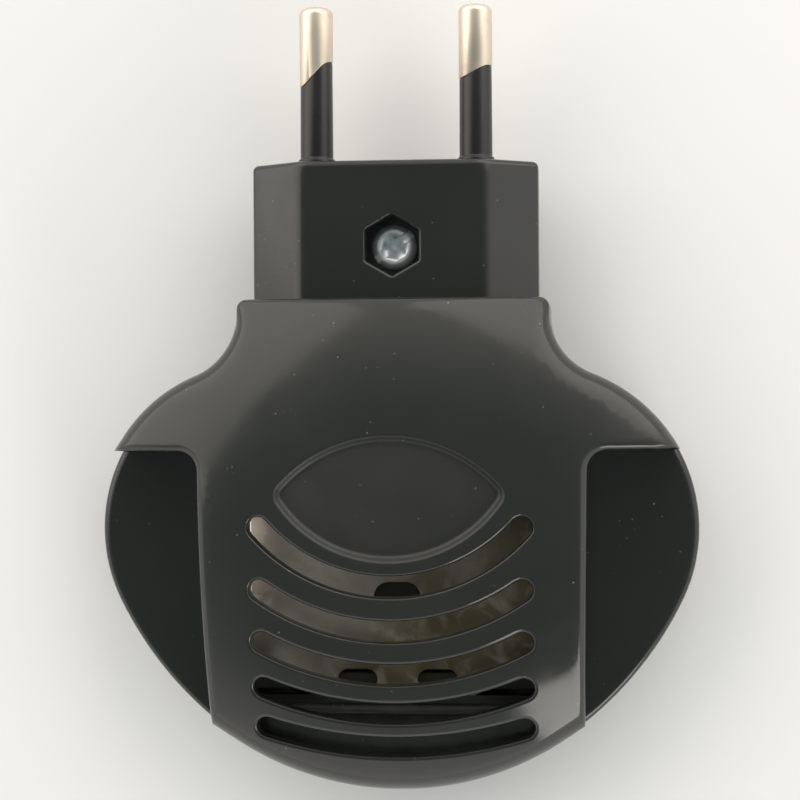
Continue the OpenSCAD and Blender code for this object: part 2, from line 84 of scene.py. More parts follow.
LABEL_CORNER_R = 0.5
SEAM_R = 0.18
BACK_EDGE_R = 1.2
BLOCK_Y = 8.0
BLOCK_TOP_Y = 27.5
BLOCK_HALF_W = 16.9
BLOCK_HALF_T = 6.9
BLOCK_FRONT_HALF_W = 10.8
BLOCK_SIDE_HALF_T = 2.2
PIN_X = 9.5
PLUG_SCREW_Y = 17.6
HEX_R = 6.2 / 2 / cos(radians(30))
HEX_DEPTH = 4.8
HEX_CORNER_R = 0.4
HEX_CORNER_SHARE = 0.88
HEX_RIM_R = 0.35
BLOCK_END_R = 0.7


def node_material(name, metallic=0.0):
    """New material: its node tree, its Principled shader and itself."""
    material = bpy.data.materials.new(name)
    material.use_nodes = True
    tree = material.node_tree
    shader = tree.nodes["Principled BSDF"]
    shader.inputs["Metallic"].default_value = metallic
    return tree, shader, material


def put(tree, kind, links=None, **values):
    """Adds a node, sets its properties, and fills its sockets with values or with other sockets."""
    node = tree.nodes.new(kind)
    for key, value in values.items():
        setattr(node, key, value)
    for socket, source in (links or {}).items():
        if isinstance(source, bpy.types.NodeSocket):
            tree.links.new(source, node.inputs[socket])
        else:
            node.inputs[socket].default_value = source
    return node


def own_place(tree):
    """Place on the piece itself."""
    return put(tree, "ShaderNodeTexCoord").outputs["Object"]


def noise(tree, place, scale, detail, **values):
    """Cloudy pattern from 0 to 1."""
    links = {"Vector": place, "Scale": scale, "Detail": detail, **values}
    return put(tree, "ShaderNodeTexNoise", links).outputs["Fac"]


def ranged(tree, value, given=(0.0, 1.0), made=(0.0, 1.0), **values):
    """A value whose given range is spread over the range that is made of it."""
    links = {"Value": value, "From Min": given[0], "From Max": given[1], "To Min": made[0], "To Max": made[1]}
    return put(tree, "ShaderNodeMapRange", links, **values).outputs["Result"]


def maths(tree, operation, *sources):
    return put(tree, "ShaderNodeMath", dict(enumerate(sources)), operation=operation).outputs[0]


def blend(tree, share, a, b, kind="RGBA"):
    """Colour or vector between a and b."""
    return put(tree, "ShaderNodeMix", {"Factor": share, "A": a, "B": b}, data_type=kind).outputs["Result"]


def paint(tree, shader, colour, roughness, height, depth):
    """Links a colour, a roughness and a relief to the shader."""
    relief = put(tree, "ShaderNodeBump", {"Height": height, "Distance": depth})
    tree.links.new(colour, shader.inputs["Base Color"])
    tree.links.new(roughness, shader.inputs["Roughness"])
    tree.links.new(relief.outputs["Normal"], shader.inputs["Normal"])


def new_group(name, inputs):
    """Shader group that makes a colour, a roughness and a height; its input and output sockets."""
    group = bpy.data.node_groups.new(name, "ShaderNodeTree")
    for label, value in inputs.items():
        kind = "NodeSocketColor" if isinstance(value, tuple) else "NodeSocketFloat"
        socket = group.interface.new_socket(label, in_out="INPUT", socket_type=kind)
        socket.default_value = value
    for label, kind in (("Colour", "Color"), ("Roughness", "Float"), ("Height", "Float")):
        group.interface.new_socket(label, in_out="OUTPUT", socket_type="NodeSocket" + kind)
    return group, group.nodes.new("NodeGroupInput").outputs, group.nodes.new("NodeGroupOutput").inputs


def end_group(group, made, *sources):
    """Links colour, roughness and height to the group's outputs."""
    for source, target in zip(sources, made):
        group.links.new(source, target)


def place_group(tree, group, **values):
    node = tree.nodes.new("ShaderNodeGroup")
    node.node_tree = group
    for label, value in values.items():
        node.inputs[label.replace("_", " ")].default_value = value
    return node


def moulded_plastic_group():
    """Colour, roughness and height of moulded plastic: faint clouding, light specks that are partly dust and
    partly painted glints, and fine waviness.
    """
    group, given, made = new_group(
        "Moulded plastic",
        {
            "Colour": (0.03, 0.03, 0.03, 1.0),
            "Gloss roughness": 0.15,
            "Dust": 0.5,
            "Grain": 0.2,
            "Waviness": 0.3,
        },
    )
    place = own_place(group)
    shade = ranged(group, noise(group, place, 70.0, 4.0), (0.3, 0.7), (0.9, 1.1))
    tinted = put(group, "ShaderNodeVectorMath", {0: given["Colour"], "Scale": shade}, operation="SCALE")

    # Light specks: real dust, and also painted glints.
    specks = put(group, "ShaderNodeTexVoronoi", {"Vector": place, "Scale": 1100.0})
    near = ranged(group, specks.outputs["Distance"], (0.16, 0.08))
    patches = ranged(group, noise(group, place, 420.0, 2.0), (0.6, 0.72))
    dust_and_glints = maths(group, "MULTIPLY", maths(group, "MULTIPLY", near, patches), given["Dust"])
    speckled = blend(group, dust_and_glints, tinted.outputs["Vector"], (0.35, 0.34, 0.32, 1.0))

    smear = ranged(group, noise(group, place, 160.0, 5.0, Distortion=1.2), (0.35, 0.75), (-0.02, 0.06))
    rough = maths(group, "ADD", given["Gloss roughness"], smear)
    rougher = maths(group, "MULTIPLY_ADD", dust_and_glints, 0.5, rough)

    fine = maths(group, "MULTIPLY", noise(group, place, 2600.0, 2.0), given["Grain"])
    broad = maths(group, "MULTIPLY_ADD", noise(group, place, 90.0, 1.0), given["Waviness"], fine)
    end_group(group, made, speckled, rougher, broad)
    return group


moulded_plastic = moulded_plastic_group()


def plastic(name, colour, roughness, dust_and_glints, grain, waviness=0.3):
    """Material of one moulded shell."""
    tree, shader, material = node_material(name)
    skin = place_group(
        tree,
        moulded_plastic,
        Colour=(*colour, 1.0),
        Gloss_roughness=roughness,
        Dust=dust_and_glints,
        Grain=grain,
        Waviness=waviness,
    )
    paint(tree, shader, *skin.outputs, 0.05 * MM)
    return material


def finish_piece(piece, material, slot, *nodes):
    """Gives a piece its material and its place in the object."""
    piece.data.materials.clear()
    piece.data.materials.append(material)
    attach(piece, "root")
    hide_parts(*nodes)


def new_piece(name, points, faces, sharp_angle):
    """Mesh object from points in millimetres, smooth but for its sharp edges."""
    mesh = bpy.data.meshes.new(name)
    mesh.from_pydata([Vector(p) * MM for p in points], [], faces)
    mesh.validate()
    mesh.shade_smooth()
    mesh.set_sharp_from_angle(angle=radians(sharp_angle))
    return placed_piece(name, mesh)


def placed_piece(name, data):
    piece = bpy.data.objects.new(name, data)
    bpy.context.scene.collection.objects.link(piece)
    return piece


def rounded_copy(node, name, r):
    """Copy of a node's mesh with whole flat faces and its sharp edges rounded to a radius."""
    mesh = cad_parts[node].data.copy()
    mesh.name = name
    form = bmesh.new()
    form.from_mesh(mesh)
    bmesh.ops.remove_doubles(form, verts=form.verts, dist=0.002 * MM)
    bmesh.ops.dissolve_limit(
        form, angle_limit=radians(0.6), verts=form.verts, edges=form.edges, use_dissolve_boundaries=False
    )
    weight = form.edges.layers.float.new("bevel_weight_edge")
    for edge in form.edges:
        sharp = len(edge.link_faces) == 2 and edge.calc_face_angle(0.0) >= radians(25.0)
        edge[weight] = 1.0 if sharp else 0.0
    form.to_mesh(mesh)
    form.free()
    mesh.shade_smooth()
    piece = placed_piece(name, mesh)
    bevel = piece.modifiers.new("Rounded edges", "BEVEL")
    bevel.limit_method = "WEIGHT"
    bevel.width = r * MM
    bevel.segments = 3
    bevel.use_clamp_overlap = False
    bevel.harden_normals = True
    return piece


def arc_points(centre, r, start, end, count):
    """Points of an arc from one angle to another, in degrees, both ends included."""
    turn = np.radians(np.linspace(start, end, count))
    return np.column_stack([centre[0] + r * np.cos(turn), centre[1] + r * np.sin(turn)])


def line_points(a, b, count):
    share = np.linspace(0, 1, count)[:, None]
    return np.array(a) * (1 - share) + np.array(b) * share


def inside(points, path):
    """Which points lie inside a closed path."""
    x, y = points[:, 0][:, None], points[:, 1][:, None]
    x1, y1 = path[:, 0], path[:, 1]
    x2, y2 = np.roll(x1, -1), np.roll(y1, -1)
    spans = (y1 > y) != (y2 > y)
    with np.errstate(divide="ignore", invalid="ignore"):
        crossing = x < (x2 - x1) * (y - y1) / (y2 - y1) + x1
    return (spans & crossing).sum(axis=1) % 2 == 1


def dense(path, step):
    """A closed path with points added so that none of its edges is longer than the step."""
    following = np.roll(path, -1, axis=0)
    parts = []
    for a, b in zip(path, following):
        count = max(1, int(np.ceil(np.hypot(*(b - a)) / step)))
        parts.append(line_points(a, b, count + 1)[:-1])
    return np.vstack(parts)


def clearance(points, paths):
    """Distance from each point to the nearest corner of the paths."""
    corners = np.vstack(paths)
    best = np.full(len(points), np.inf)
    for start in range(0, len(corners), 200):
        part = corners[start : start + 200]
        gap = np.hypot(points[:, 0][:, None] - part[:, 0], points[:, 1][:, None] - part[:, 1])
        best = np.minimum(best, gap.min(axis=1))
    return best


def filled(outer, holes, spacing):
    """Triangles between a closed path and the holes in it, with the points that they use: those of the
    paths first, in order, and then an even pattern of points between them."""
    paths = [outer, *holes]
    low, high = outer.min(axis=0), outer.max(axis=0)
    rows = np.arange(low[1], high[1], spacing * 0.87)
    grid = []
    for i, y in enumerate(rows):
        reach = np.arange(0.25 * spacing if i % 2 else 0.75 * spacing, high[0], spacing)
        grid += [(x, y) for x in reach] + [(-x, y) for x in reach]
    grid = np.array(grid)
    grid = grid[inside(grid, outer)]
    for hole in holes:
        grid = grid[~inside(grid, hole)]
    grid = grid[clearance(grid, [dense(path, spacing * 0.4) for path in paths]) > spacing * 0.55]
    points = np.vstack([*paths, grid])
    edges = []
    start = 0
    for path in paths:
        count = len(path)
        edges += [(start + i, start + (i + 1) % count) for i in range(count)]
        start += count
    flat, _, triangles, _, _, _ = delaunay_2d_cdt([Vector(p) for p in points], edges, [], 0, 1e-7)
    if len(flat) != len(points):
        raise ValueError("two points of the outline fell together")
    flat = np.array([tuple(p) for p in flat])
    corners = np.array([tuple(t) for t in triangles])
    middles = flat[corners].mean(axis=1)
    keep = inside(middles, outer)
    for hole in holes:
        keep &= ~inside(middles, hole)
    return flat, corners[keep]


class Shell:
    """Collects the points and faces of a mesh, and joins rings of points into walls."""

    def __init__(self):
        self.points = []
        self.faces = []

    def add(self, points):
        start = len(self.points)
        self.points += [tuple(p) for p in points]
        return list(range(start, start + len(points)))

    def ring(self, path, height):
        """Points over a flat path, at one height or at one height each."""
        return self.add(at_height(path, height))

    def strip(self, low, high):
        """Four-sided faces between two open rows with the same number of points."""
        for i in range(len(low) - 1):
            self.faces.append((low[i], low[i + 1], high[i + 1], high[i]))

    def wall(self, ring, following):
        """Four-sided faces between two closed rings with the same number of points."""
        self.strip(ring + ring[:1], following + following[:1])

    def walls(self, rings):
        """A wall from each ring to the next."""
        for ring, following in zip(rings, rings[1:]):
            self.wall(ring, following)

    def cover_over(self, outer, holes, spacing, place):
        """Triangles between a ring and holes, each given as its flat path and the points it stands for."""
        flat, triangles = filled(outer[0], [path for path, _ in holes], spacing)
        known = list(outer[1]) + [i for _, ring in holes for i in ring]
        known += self.add(place(flat[len(known) :]))
        self.faces += [tuple(known[i] for i in t) for t in triangles]

    def cap(self, ring, centre):
        count = len(ring)
        self.faces += [(ring[i], ring[(i + 1) % count], centre) for i in range(count)]

    def piece(self, name, sharp_angle):
        """Closed piece with every face turned outwards."""
        return outward(new_piece(name, self.points, self.faces, sharp_angle))


def outward(piece):
    """Takes out loose and doubled points, and turns every face of a closed piece outwards."""
    form = bmesh.new()
    form.from_mesh(piece.data)
    bmesh.ops.delete(form, geom=[corner for corner in form.verts if not corner.link_faces], context="VERTS")
    bmesh.ops.remove_doubles(form, verts=form.verts, dist=0.0002 * MM)
    bmesh.ops.recalc_face_normals(form, faces=form.faces)
    form.to_mesh(piece.data)
    form.free()
    return piece


def at_height(path, height):
    """Points in space over a flat path."""
    return np.column_stack([path, np.broadcast_to(height, len(path))])


def body_path(inset):
    """Closed outline of the body, moved inwards by inset, clockwise from the middle of the lip."""
    corner = max(0.1, CORNER_R - inset)
    side_x, top_y = NECK_HALF_W - inset, NECK_TOP_Y - inset
    half = np.vstack(
        [
            line_points((0.0, top_y), (side_x - corner, top_y), 20),
            arc_points((side_x - corner, top_y - corner), corner, 90, 0, 6)[1:],
            arc_points(NECK_C, NECK_R + inset, 180, 180 + SHOULDER_TURN, 28),
            arc_points(SIDE_C, SIDE_R - inset, SHOULDER_TURN, -FLANK_TURN, 40)[1:],
            arc_points(FLANK_C, FLANK_R - inset, -FLANK_TURN, FLANK_END, 22)[1:],
            arc_points(BOTTOM_C, BOTTOM_R - inset, FLANK_END, -90, 22)[1:],
        ]
    )
    return np.vstack([half, half[-2:0:-1] * [-1, 1]])


def circle_path(x, y, r, count=36):
    return arc_points((x, y), r, 0, 360, count + 1)[:-1]


def box_path(x, y, half_x, half_y, r, steps=4):
    """Closed rectangle with rounded corners."""
    return np.vstack(
        [
            arc_points((x + sx * (half_x - r), y + sy * (half_y - r)), r, turn, turn + 90, steps)
            for sx, sy, turn in ((1, 1, 0), (-1, 1, 90), (-1, -1, 180), (1, -1, 270))
        ]
    )


def oval_path(x, y, half_l, r, steps=9):
    """Closed upright slot: half_l is from its middle to the centre of each round end."""
    return np.vstack(
        [arc_points((x, y + half_l), r, 0, 180, steps), arc_points((x, y - half_l), r, 180, 360, steps)]
    )


def back_height(points, inset=0.0):
    """Height of the back: flat in its middle, then domed."""
    lift = BACK_R - BACK_FLAT_R**2 / (2 * BACK_R)
    away = np.square(points[:, 0]) + np.square(points[:, 1] - SIDE_C[1])
    return np.maximum(inset, lift - np.sqrt((BACK_R - inset) ** 2 - away))


def rolled(steps):
    """Shares of a rounding's radius across and along, from the side of a wall to its top."""
    for k in range(steps + 1):
        turn = pi / 2 * k / steps
        yield 1 - cos(turn), 1 - sin(turn)


def hole_rings(shell, path_at, height_at, r, sign, steps=3):
    """Rounded mouth of a hole: rings from its wall out to the surface, which faces down for sign 1 and up
    for sign -1. Returns the first ring and the path and ring of the last."""
    rings = []
    for across, along in rolled(steps):
        path = path_at(r * across)
        rings.append(shell.ring(path, height_at(path) + sign * r * along))
    shell.walls(rings)
    return rings[0], (path, rings[-1])


def led_round_posts(path, r):
    """The outline led round both screw posts at a distance r from their middles."""
    for x in (-POST_AT[0], POST_AT[0]):
        away = path - [x, POST_AT[1]]
        run = np.flatnonzero(np.hypot(away[:, 0], away[:, 1]) < r)
        enter, leave = np.degrees(np.arctan2(away[run[[0, -1]], 1], away[run[[0, -1]], 0]))
        path[run] = arc_points((x, POST_AT[1]), r, enter, leave + 360, len(run))
    return path


def tub_walls(shell):
    """Back, side wall, floor and posts of the rear tub."""
    seam_path = body_path(SEAM_R)
    rings = [shell.ring(seam_path, PARTING_Z), shell.ring(body_path(0.0), PARTING_Z - SEAM_R)]
    for across, along in rolled(7):
        path = body_path(BACK_EDGE_R * across)
        rings.append(shell.ring(path, back_height(path) + BACK_EDGE_R * along))
    shell.walls(rings)
    seam, outer = rings[0], (path, rings[-1])

    inner_path = led_round_posts(body_path(WALL), POST_R)
    rim = shell.ring(inner_path, PARTING_Z)
    foot = shell.ring(inner_path, back_height(inner_path, WALL))
    shell.wall(rim, foot)

    back_holes, floor_holes, rim_holes = [], [], [(inner_path, rim)]
    for x in VENT_XS:
        wall, mouth = hole_rings(
            shell,
            lambda grow: oval_path(x, HEATER_Y, VENT_HALF_L, VENT_R + grow),
            back_height,
            VENT_EDGE_R,
            1,
        )
        back_holes.append(mouth)
        path = oval_path(x, HEATER_Y, VENT_HALF_L, VENT_R)
        inner = shell.ring(path, WALL)
        shell.wall(wall, inner)
        floor_holes.append((path, inner))
    y = POST_AT[1]
    for x in (-POST_AT[0], POST_AT[0]):
        ring, mouth = hole_rings(
            shell, lambda grow: circle_path(x, y, SCREW_SEAT_R + grow), back_height, SEAT_EDGE_R, 1
        )
        back_holes.append(mouth)
        rings = [ring]
        for r, z in ((SCREW_SEAT_R, SCREW_SEAT_Z), (POST_HOLE_R, SCREW_SEAT_Z), (POST_HOLE_R, PARTING_Z)):
            rings.append(shell.ring(circle_path(x, y, r), z))
        shell.walls(rings)
        rim_holes.append((circle_path(x, y, POST_HOLE_R), rings[-1]))

    def label_path(grow):
        return box_path(0, LABEL_Y, LABEL_HALF[0] + grow, LABEL_HALF[1] + grow, LABEL_CORNER_R)

    ring, mouth = hole_rings(shell, label_path, back_height, LABEL_EDGE_R, 1, 2)
    back_holes.append(mouth)
    recess = shell.ring(label_path(0), LABEL_DEPTH)
    shell.wall(ring, recess)
    shell.cover_over((label_path(0), recess), [], 2.0, lambda p: at_height(p, LABEL_DEPTH))
    shell.cover_over(outer, back_holes, 1.2, lambda p: at_height(p, back_height(p)))
    shell.cover_over((seam_path, seam), rim_holes, 3.0, lambda p: at_height(p, PARTING_Z))
    shell.cover_over((inner_path, foot), floor_holes, 1.8, lambda p: at_height(p, back_height(p, WALL)))


def filleted(corners, radii, steps):
    """Open line with its inner corners rounded."""
    points = [corners[0]]
    for before, corner, after, r in zip(corners, corners[1:], corners[2:], radii):
        a, b, c = (np.array(p, float) for p in (before, corner, after))
        into, out = (b - a) / np.hypot(*(b - a)), (c - b) / np.hypot(*(c - b))
        bend = np.arccos(np.clip(into @ out, -1, 1))
        reach = r * np.tan(bend / 2)
        side = np.sign(into[0] * out[1] - into[1] * out[0])
        normal = side * np.array([-into[1], into[0]])
        centre = b - reach * into + r * normal
        for k in range(steps + 1):
            turn = bend * k / steps
            points.append(centre - r * cos(turn) * normal + r * sin(turn) * into)
    points.append(corners[-1])
    return np.array(points)


SECTION_STEPS = 8
FLAT_PARTS = 16


def block_profile(inset):
    """Upper half of the block's octagon, from right to left, with its long edges rounded. Points are
    across and out from the parting plane."""
    w, t = BLOCK_HALF_W - inset, BLOCK_HALF_T - inset
    front = BLOCK_FRONT_HALF_W - 0.35 * inset
    side = BLOCK_SIDE_HALF_T - 0.35 * inset
    corners = [(w, 0), (w, side), (front, t), (-front, t), (-w, side), (-w, 0)]
    small, broad = max(0.05, 0.8 - inset), 3.2 - inset
    points = filleted(corners, [small, broad, broad, small], SECTION_STEPS)
    middle = len(points) // 2
    flat = line_points(points[middle - 1], points[middle], FLAT_PARTS + 1)[1:-1]
    return np.vstack([points[:middle], flat, points[middle:]])


def in_block(side, x, y, out):
    """Points of a block half: the front one on side 1, the rear one on side -1."""
    x, y, out = np.broadcast_arrays(x, y, out)
    return np.column_stack([x, y, PARTING_Z + side * out])


GROOVE = [(BLOCK_TOP_Y, 2.25), (26.65, 2.25), (26.65, 2.05), (24.85, 2.05), (24.85, 3.15)]
GROOVE += [(23.55, 3.15), (23.55, 2.05), (BLOCK_Y, 2.05)]


def hexagon_path(grow):
    """Closed hexagon with rounded corners, whose middles lie at a share of the way to sharp ones."""
    turns = np.arange(0, 360, 60)
    away = HEX_CORNER_SHARE * HEX_R
    corners = [(away * cos(radians(t + 30)), PLUG_SCREW_Y + away * sin(radians(t + 30))) for t in turns]
    return np.vstack([arc_points(c, HEX_CORNER_R + grow, t, t + 60, 5) for c, t in zip(corners, turns)])


def block_half(shell, side):
    """Closed half of the plug block with its hexagon, screw hole and pin grooves."""

    def level(path, out):
        return shell.add(in_block(side, path[:, 0], path[:, 1], out))

    def face(outer, holes, spacing, out):
        shell.cover_over(outer, holes, spacing, lambda p: in_block(side, p[:, 0], p[:, 1], out))

    profile = block_profile(0)
    first = (len(profile) - FLAT_PARTS - 1) // 2
    last = first + FLAT_PARTS
    heights = np.linspace(BLOCK_Y, BLOCK_TOP_Y - BLOCK_END_R, 17)
    grid = [shell.add(in_block(side, profile[:, 0], y, profile[:, 1])) for y in heights]
    for low, high in zip(grid, grid[1:]):
        shell.strip(low[: first + 1], high[: first + 1])
        shell.strip(low[last:], high[last:])

    # front face with the mouth of the hexagon, its seat and the screw hole
    border = [low[first] for low in grid] + grid[-1][first + 1 : last]
    border += [low[last] for low in grid[::-1]] + grid[0][last - 1 : first : -1]
    border_path = np.array([shell.points[i][:2] for i in border])
    rim = []
    for across, along in rolled(4):
        path = hexagon_path(HEX_RIM_R * across)
        rim.append(level(path, BLOCK_HALF_T - HEX_RIM_R * along))
    shell.walls(rim)
    face((border_path, border), [(path, rim[-1])], 1.1, BLOCK_HALF_T)
    seat_t = BLOCK_HALF_T - HEX_DEPTH
    floor = level(hexagon_path(0), seat_t)
    shell.wall(rim[0], floor)
    bore_path = circle_path(0, PLUG_SCREW_Y, POST_HOLE_R, 24)
    bore_top = level(bore_path, seat_t)
    bore_foot = level(bore_path, 0.0)
    shell.wall(bore_top, bore_foot)
    face((hexagon_path(0), floor), [(bore_path, bore_top)], 1.0, seat_t)

    # rounded end, then both end faces round the grooves
    end_rows = [grid[-1]]
    for across, along in list(rolled(5))[1:]:
        path = block_profile(BLOCK_END_R * across)
        end_y = BLOCK_TOP_Y - BLOCK_END_R * along
        end_rows.append(shell.add(in_block(side, path[:, 0], end_y, path[:, 1])))
        shell.strip(*end_rows[-2:])
    grooves = []
    for y, r in GROOVE:
        arcs = [arc_points((x, 0), r, 180, 0, 13) for x in (-PIN_X, PIN_X)]
        grooves.append([shell.add(in_block(side, arc[:, 0], y, arc[:, 1])) for arc in arcs])
    for low, high in zip(grooves, grooves[1:]):
        for a, b in zip(low, high):
            shell.strip(a, b)
    ends = [(end_rows[-1], grooves[0], BLOCK_TOP_Y), (grid[0], grooves[-1], BLOCK_Y)]
    for end_row, groove, end_y in ends:
        border = end_row + groove[0] + groove[1]
        spots = [shell.points[i] for i in border]
        border_path = np.array([(x, side * (z - PARTING_Z)) for x, _, z in spots])
        shell.cover_over((border_path, border), [], 1.5, lambda p: in_block(side, p[:, 0], end_y, p[:, 1]))

    # parting face: one strip outside each groove and one between them
    block_rows = grid + end_rows[1:]
    shell.faces.append(tuple([groove[0][0] for groove in grooves] + [row[-1] for row in block_rows]))
    shell.faces.append(tuple([groove[1][-1] for groove in grooves] + [row[0] for row in block_rows]))
    between = [groove[0][-1] for groove in grooves] + [groove[1][0] for groove in grooves[::-1]]
    between_path = np.array([shell.points[i][:2] for i in between])
    face((between_path, between), [(bore_path, bore_foot)], 1.5, 0.0)


# Painted shade: the same black plastic as the cover, given a darker colour for the rear tub.
housing_black_shaded = plastic("housing_plastic", (0.016, 0.0165, 0.0155), 0.2, dust_and_glints=0.3, grain=0.06, waviness=0.2)
tub = Shell()
tub_walls(tub)
block_half(tub, -1)
finish_piece(tub.piece("rear_tub", 35), housing_black_shaded, "housing_plastic", "rear_housing")

# ---------------------------------------------------------------------------------------------
# Rating plate. A blank matt foil label in a shallow recess of the back.
# ---------------------------------------------------------------------------------------------


def label_foil():
    """Matt metal foil, brushed along its length."""
    tree, shader, material = node_material("label_film", metallic=0.6)
    along = put(tree, "ShaderNodeMapping", {"Vector": own_place(tree), "Scale": (60.0, 2500.0, 60.0)})
    brushed = noise(tree, along.outputs["Vector"], 1.0, 5.0)
    tone = blend(tree, brushed, (0.42, 0.42, 0.41, 1.0), (0.56, 0.56, 0.54, 1.0))
    paint(tree, shader, tone, ranged(tree, brushed, made=(0.35, 0.5)), brushed, 0.004 * MM)
    return material


rating_label = rounded_copy("rating_plate", "rating_label", 0.12)
finish_piece(rating_label, label_foil(), "label_film", "rating_plate")

# ---------------------------------------------------------------------------------------------
# Plug pins. Two turned and nickel-plated brass pins with a flange that the block halves clamp.
# Black insulation is moulded round a thinner neck of each, with a collar and a slanted end.
# ---------------------------------------------------------------------------------------------

PIN_TIP_Y = 46.5
PIN_TAIL_Y = 7.5
PIN_NECK_R = 1.6
PIN_NECK_Y = 25.5
PIN_ROWS = [(-PIN_X, 2.9, "left"), (PIN_X, 1.5, "right")]
SLEEVE_MID_Y = 38.4
PIN_SIDES = 64


def metal_group():
    """Colour, roughness and height of bare metal: drawn streaks and cloudy stains."""
    group, given, made = new_group(
        "Worn metal",
        {
            "Colour": (0.6, 0.6, 0.6, 1.0),
            "Stain colour": (0.4, 0.36, 0.3, 1.0),
            "Stains": 0.3,
            "Base roughness": 0.25,
            "Streaks": 0.5,
            "Along": 0.0,
        },
    )
    place = own_place(group)
    drawn_x = put(group, "ShaderNodeMapping", {"Vector": place, "Scale": (40.0, 1800.0, 1800.0)})
    drawn_y = put(group, "ShaderNodeMapping", {"Vector": place, "Scale": (1800.0, 40.0, 1800.0)})
    drawn = blend(group, given["Along"], drawn_x.outputs["Vector"], drawn_y.outputs["Vector"], "VECTOR")
    streaks = noise(group, drawn, 1.0, 4.0)
    clouds = noise(group, place, 260.0, 6.0, Roughness=0.6, Distortion=0.8)
    share = maths(group, "MULTIPLY", ranged(group, clouds, (0.5, 0.72)), given["Stains"])
    colour = blend(group, share, given["Colour"], given["Stain colour"])
    swing = ranged(group, streaks, made=(-0.12, 0.12))
    rough = maths(group, "MULTIPLY_ADD", swing, given["Streaks"], given["Base roughness"])
    rougher = maths(group, "MULTIPLY_ADD", share, 0.3, rough)
    end_group(group, made, colour, rougher, maths(group, "MULTIPLY", streaks, given["Streaks"]))
    return group


worn_metal = metal_group()


def metal(name, colour, roughness, stain=(0.4, 0.36, 0.3), stains=0.3, streaks=0.5, along=0.0, metallic=1.0):
    """Material of one metal part."""
    tree, shader, material = node_material(name, metallic=metallic)
    skin = place_group(
        tree,
        worn_metal,
        Colour=(*colour, 1.0),
        Stain_colour=(*stain, 1.0),
        Stains=stains,
        Base_roughness=roughness,
        Streaks=streaks,
        Along=along,
    )
    paint(tree, shader, *skin.outputs, 0.004 * MM)
    return material


def lathe_points(x, rings):
    """Rings of points round a pin's axis; each ring is a radius and a height or one height per point."""
    turn = np.linspace(0, 2 * pi, PIN_SIDES, endpoint=False)
    for r, y in rings:
        across, up = r * np.sin(turn), r * np.cos(turn)
        yield np.column_stack([x + across, np.broadcast_to(y, PIN_SIDES), PARTING_Z + up])


def sleeve_edge(rise):
    """Height of the slanted end all round a pin: flat at both sides and steep between them."""
    u = np.sin(np.linspace(0, 2 * pi, PIN_SIDES, endpoint=False))
    return SLEEVE_MID_Y + rise / 2 * (1.5 * u - 0.5 * u**3)


def pin_mesh(x, rise):
    edge = sleeve_edge(rise)
    rings = [(0.7, 46.46), (1.25, 46.38), (1.5, 46.28), (1.7, 46.14), (1.86, 45.96), (1.96, 45.76)]
    rings += [(2.0, 45.5), (2.0, 43.0), (2.0, edge + 0.12), (1.96, edge + 0.03), (1.9, edge)]
    rings += [(PIN_NECK_R, edge), (PIN_NECK_R, PIN_NECK_Y), (2.0, PIN_NECK_Y), (2.0, 24.8)]
    rings += [(3.0, 24.8), (3.1, 24.7), (3.1, 23.7), (3.0, 23.6)]
    rings += [(2.0, 23.6), (2.0, 14.2), (1.8, 14.0), (1.0, 14.0), (1.0, 7.6), (0.9, PIN_TAIL_Y)]
    shell = Shell()
    placed = [shell.add(points) for points in lathe_points(x, rings)]
    shell.walls(placed)
    tip, tail = shell.add([(x, PIN_TIP_Y, PARTING_Z), (x, PIN_TAIL_Y, PARTING_Z)])
    shell.cap(placed[0][::-1], tip)
    shell.cap(placed[-1], tail)
    return shell


def sleeve_mesh(x, rise):
    edge = sleeve_edge(rise) - 0.02
    rings = [(PIN_NECK_R, PIN_NECK_Y), (1.99, PIN_NECK_Y), (1.99, 26.7), (2.2, 26.7), (2.2, 28.15)]
    rings += [(2.17, 28.26), (2.1, 28.33), (2.02, 28.36), (1.97, 28.42), (1.96, 28.6)]
    rings += [(1.92, edge - 0.16), (1.9, edge - 0.05), (1.84, edge), (PIN_NECK_R, edge)]
    shell = Shell()
    placed = [shell.add(points) for points in lathe_points(x, rings)]
    for ring, following in zip(placed, placed[1:] + placed[:1]):
        shell.wall(following, ring)
    return shell


nickel = metal("nickel", (0.76, 0.66, 0.55), 0.38, (0.6, 0.5, 0.4), 0.4, 0.9, 1.0, 0.95)
sleeve_black = plastic("sleeve_plastic", (0.008, 0.0082, 0.008), 0.3, dust_and_glints=0.2, grain=0.2)
for x, rise, side in PIN_ROWS:
    pin = pin_mesh(x, rise).piece(f"plug_pin_{side}", 30)
    finish_piece(pin, nickel, "nickel", f"pin_{side}")
    sleeve = sleeve_mesh(x, rise).piece(f"pin_sleeve_{side}", 50)
    finish_piece(sleeve, sleeve_black, "sleeve_plastic", f"sleeve_{side}")

# ---------------------------------------------------------------------------------------------
# Leads. Two short silicone-insulated wires from the pins' tails to the heater's tabs, crimped
# in tinned ferrules at both ends.
# ---------------------------------------------------------------------------------------------

LEAD_R = 0.9
LEAD_ROUTE = [
    (-9.5, 5, 9.5), (-9.5, 3.6, 9.4), (-9.6, 2.4, 8.8), (-9.8, 1.4, 7.8), (-9.9, 0.6, 6.6),
    (-9.8, -0.6, 5.6), (-9.4, -2.2, 5.2), (-8.8, -4, 5.6), (-8.2, -5.4, 6.6), (-8, -6.6, 7.6), (-8, -7.6, 8),
]


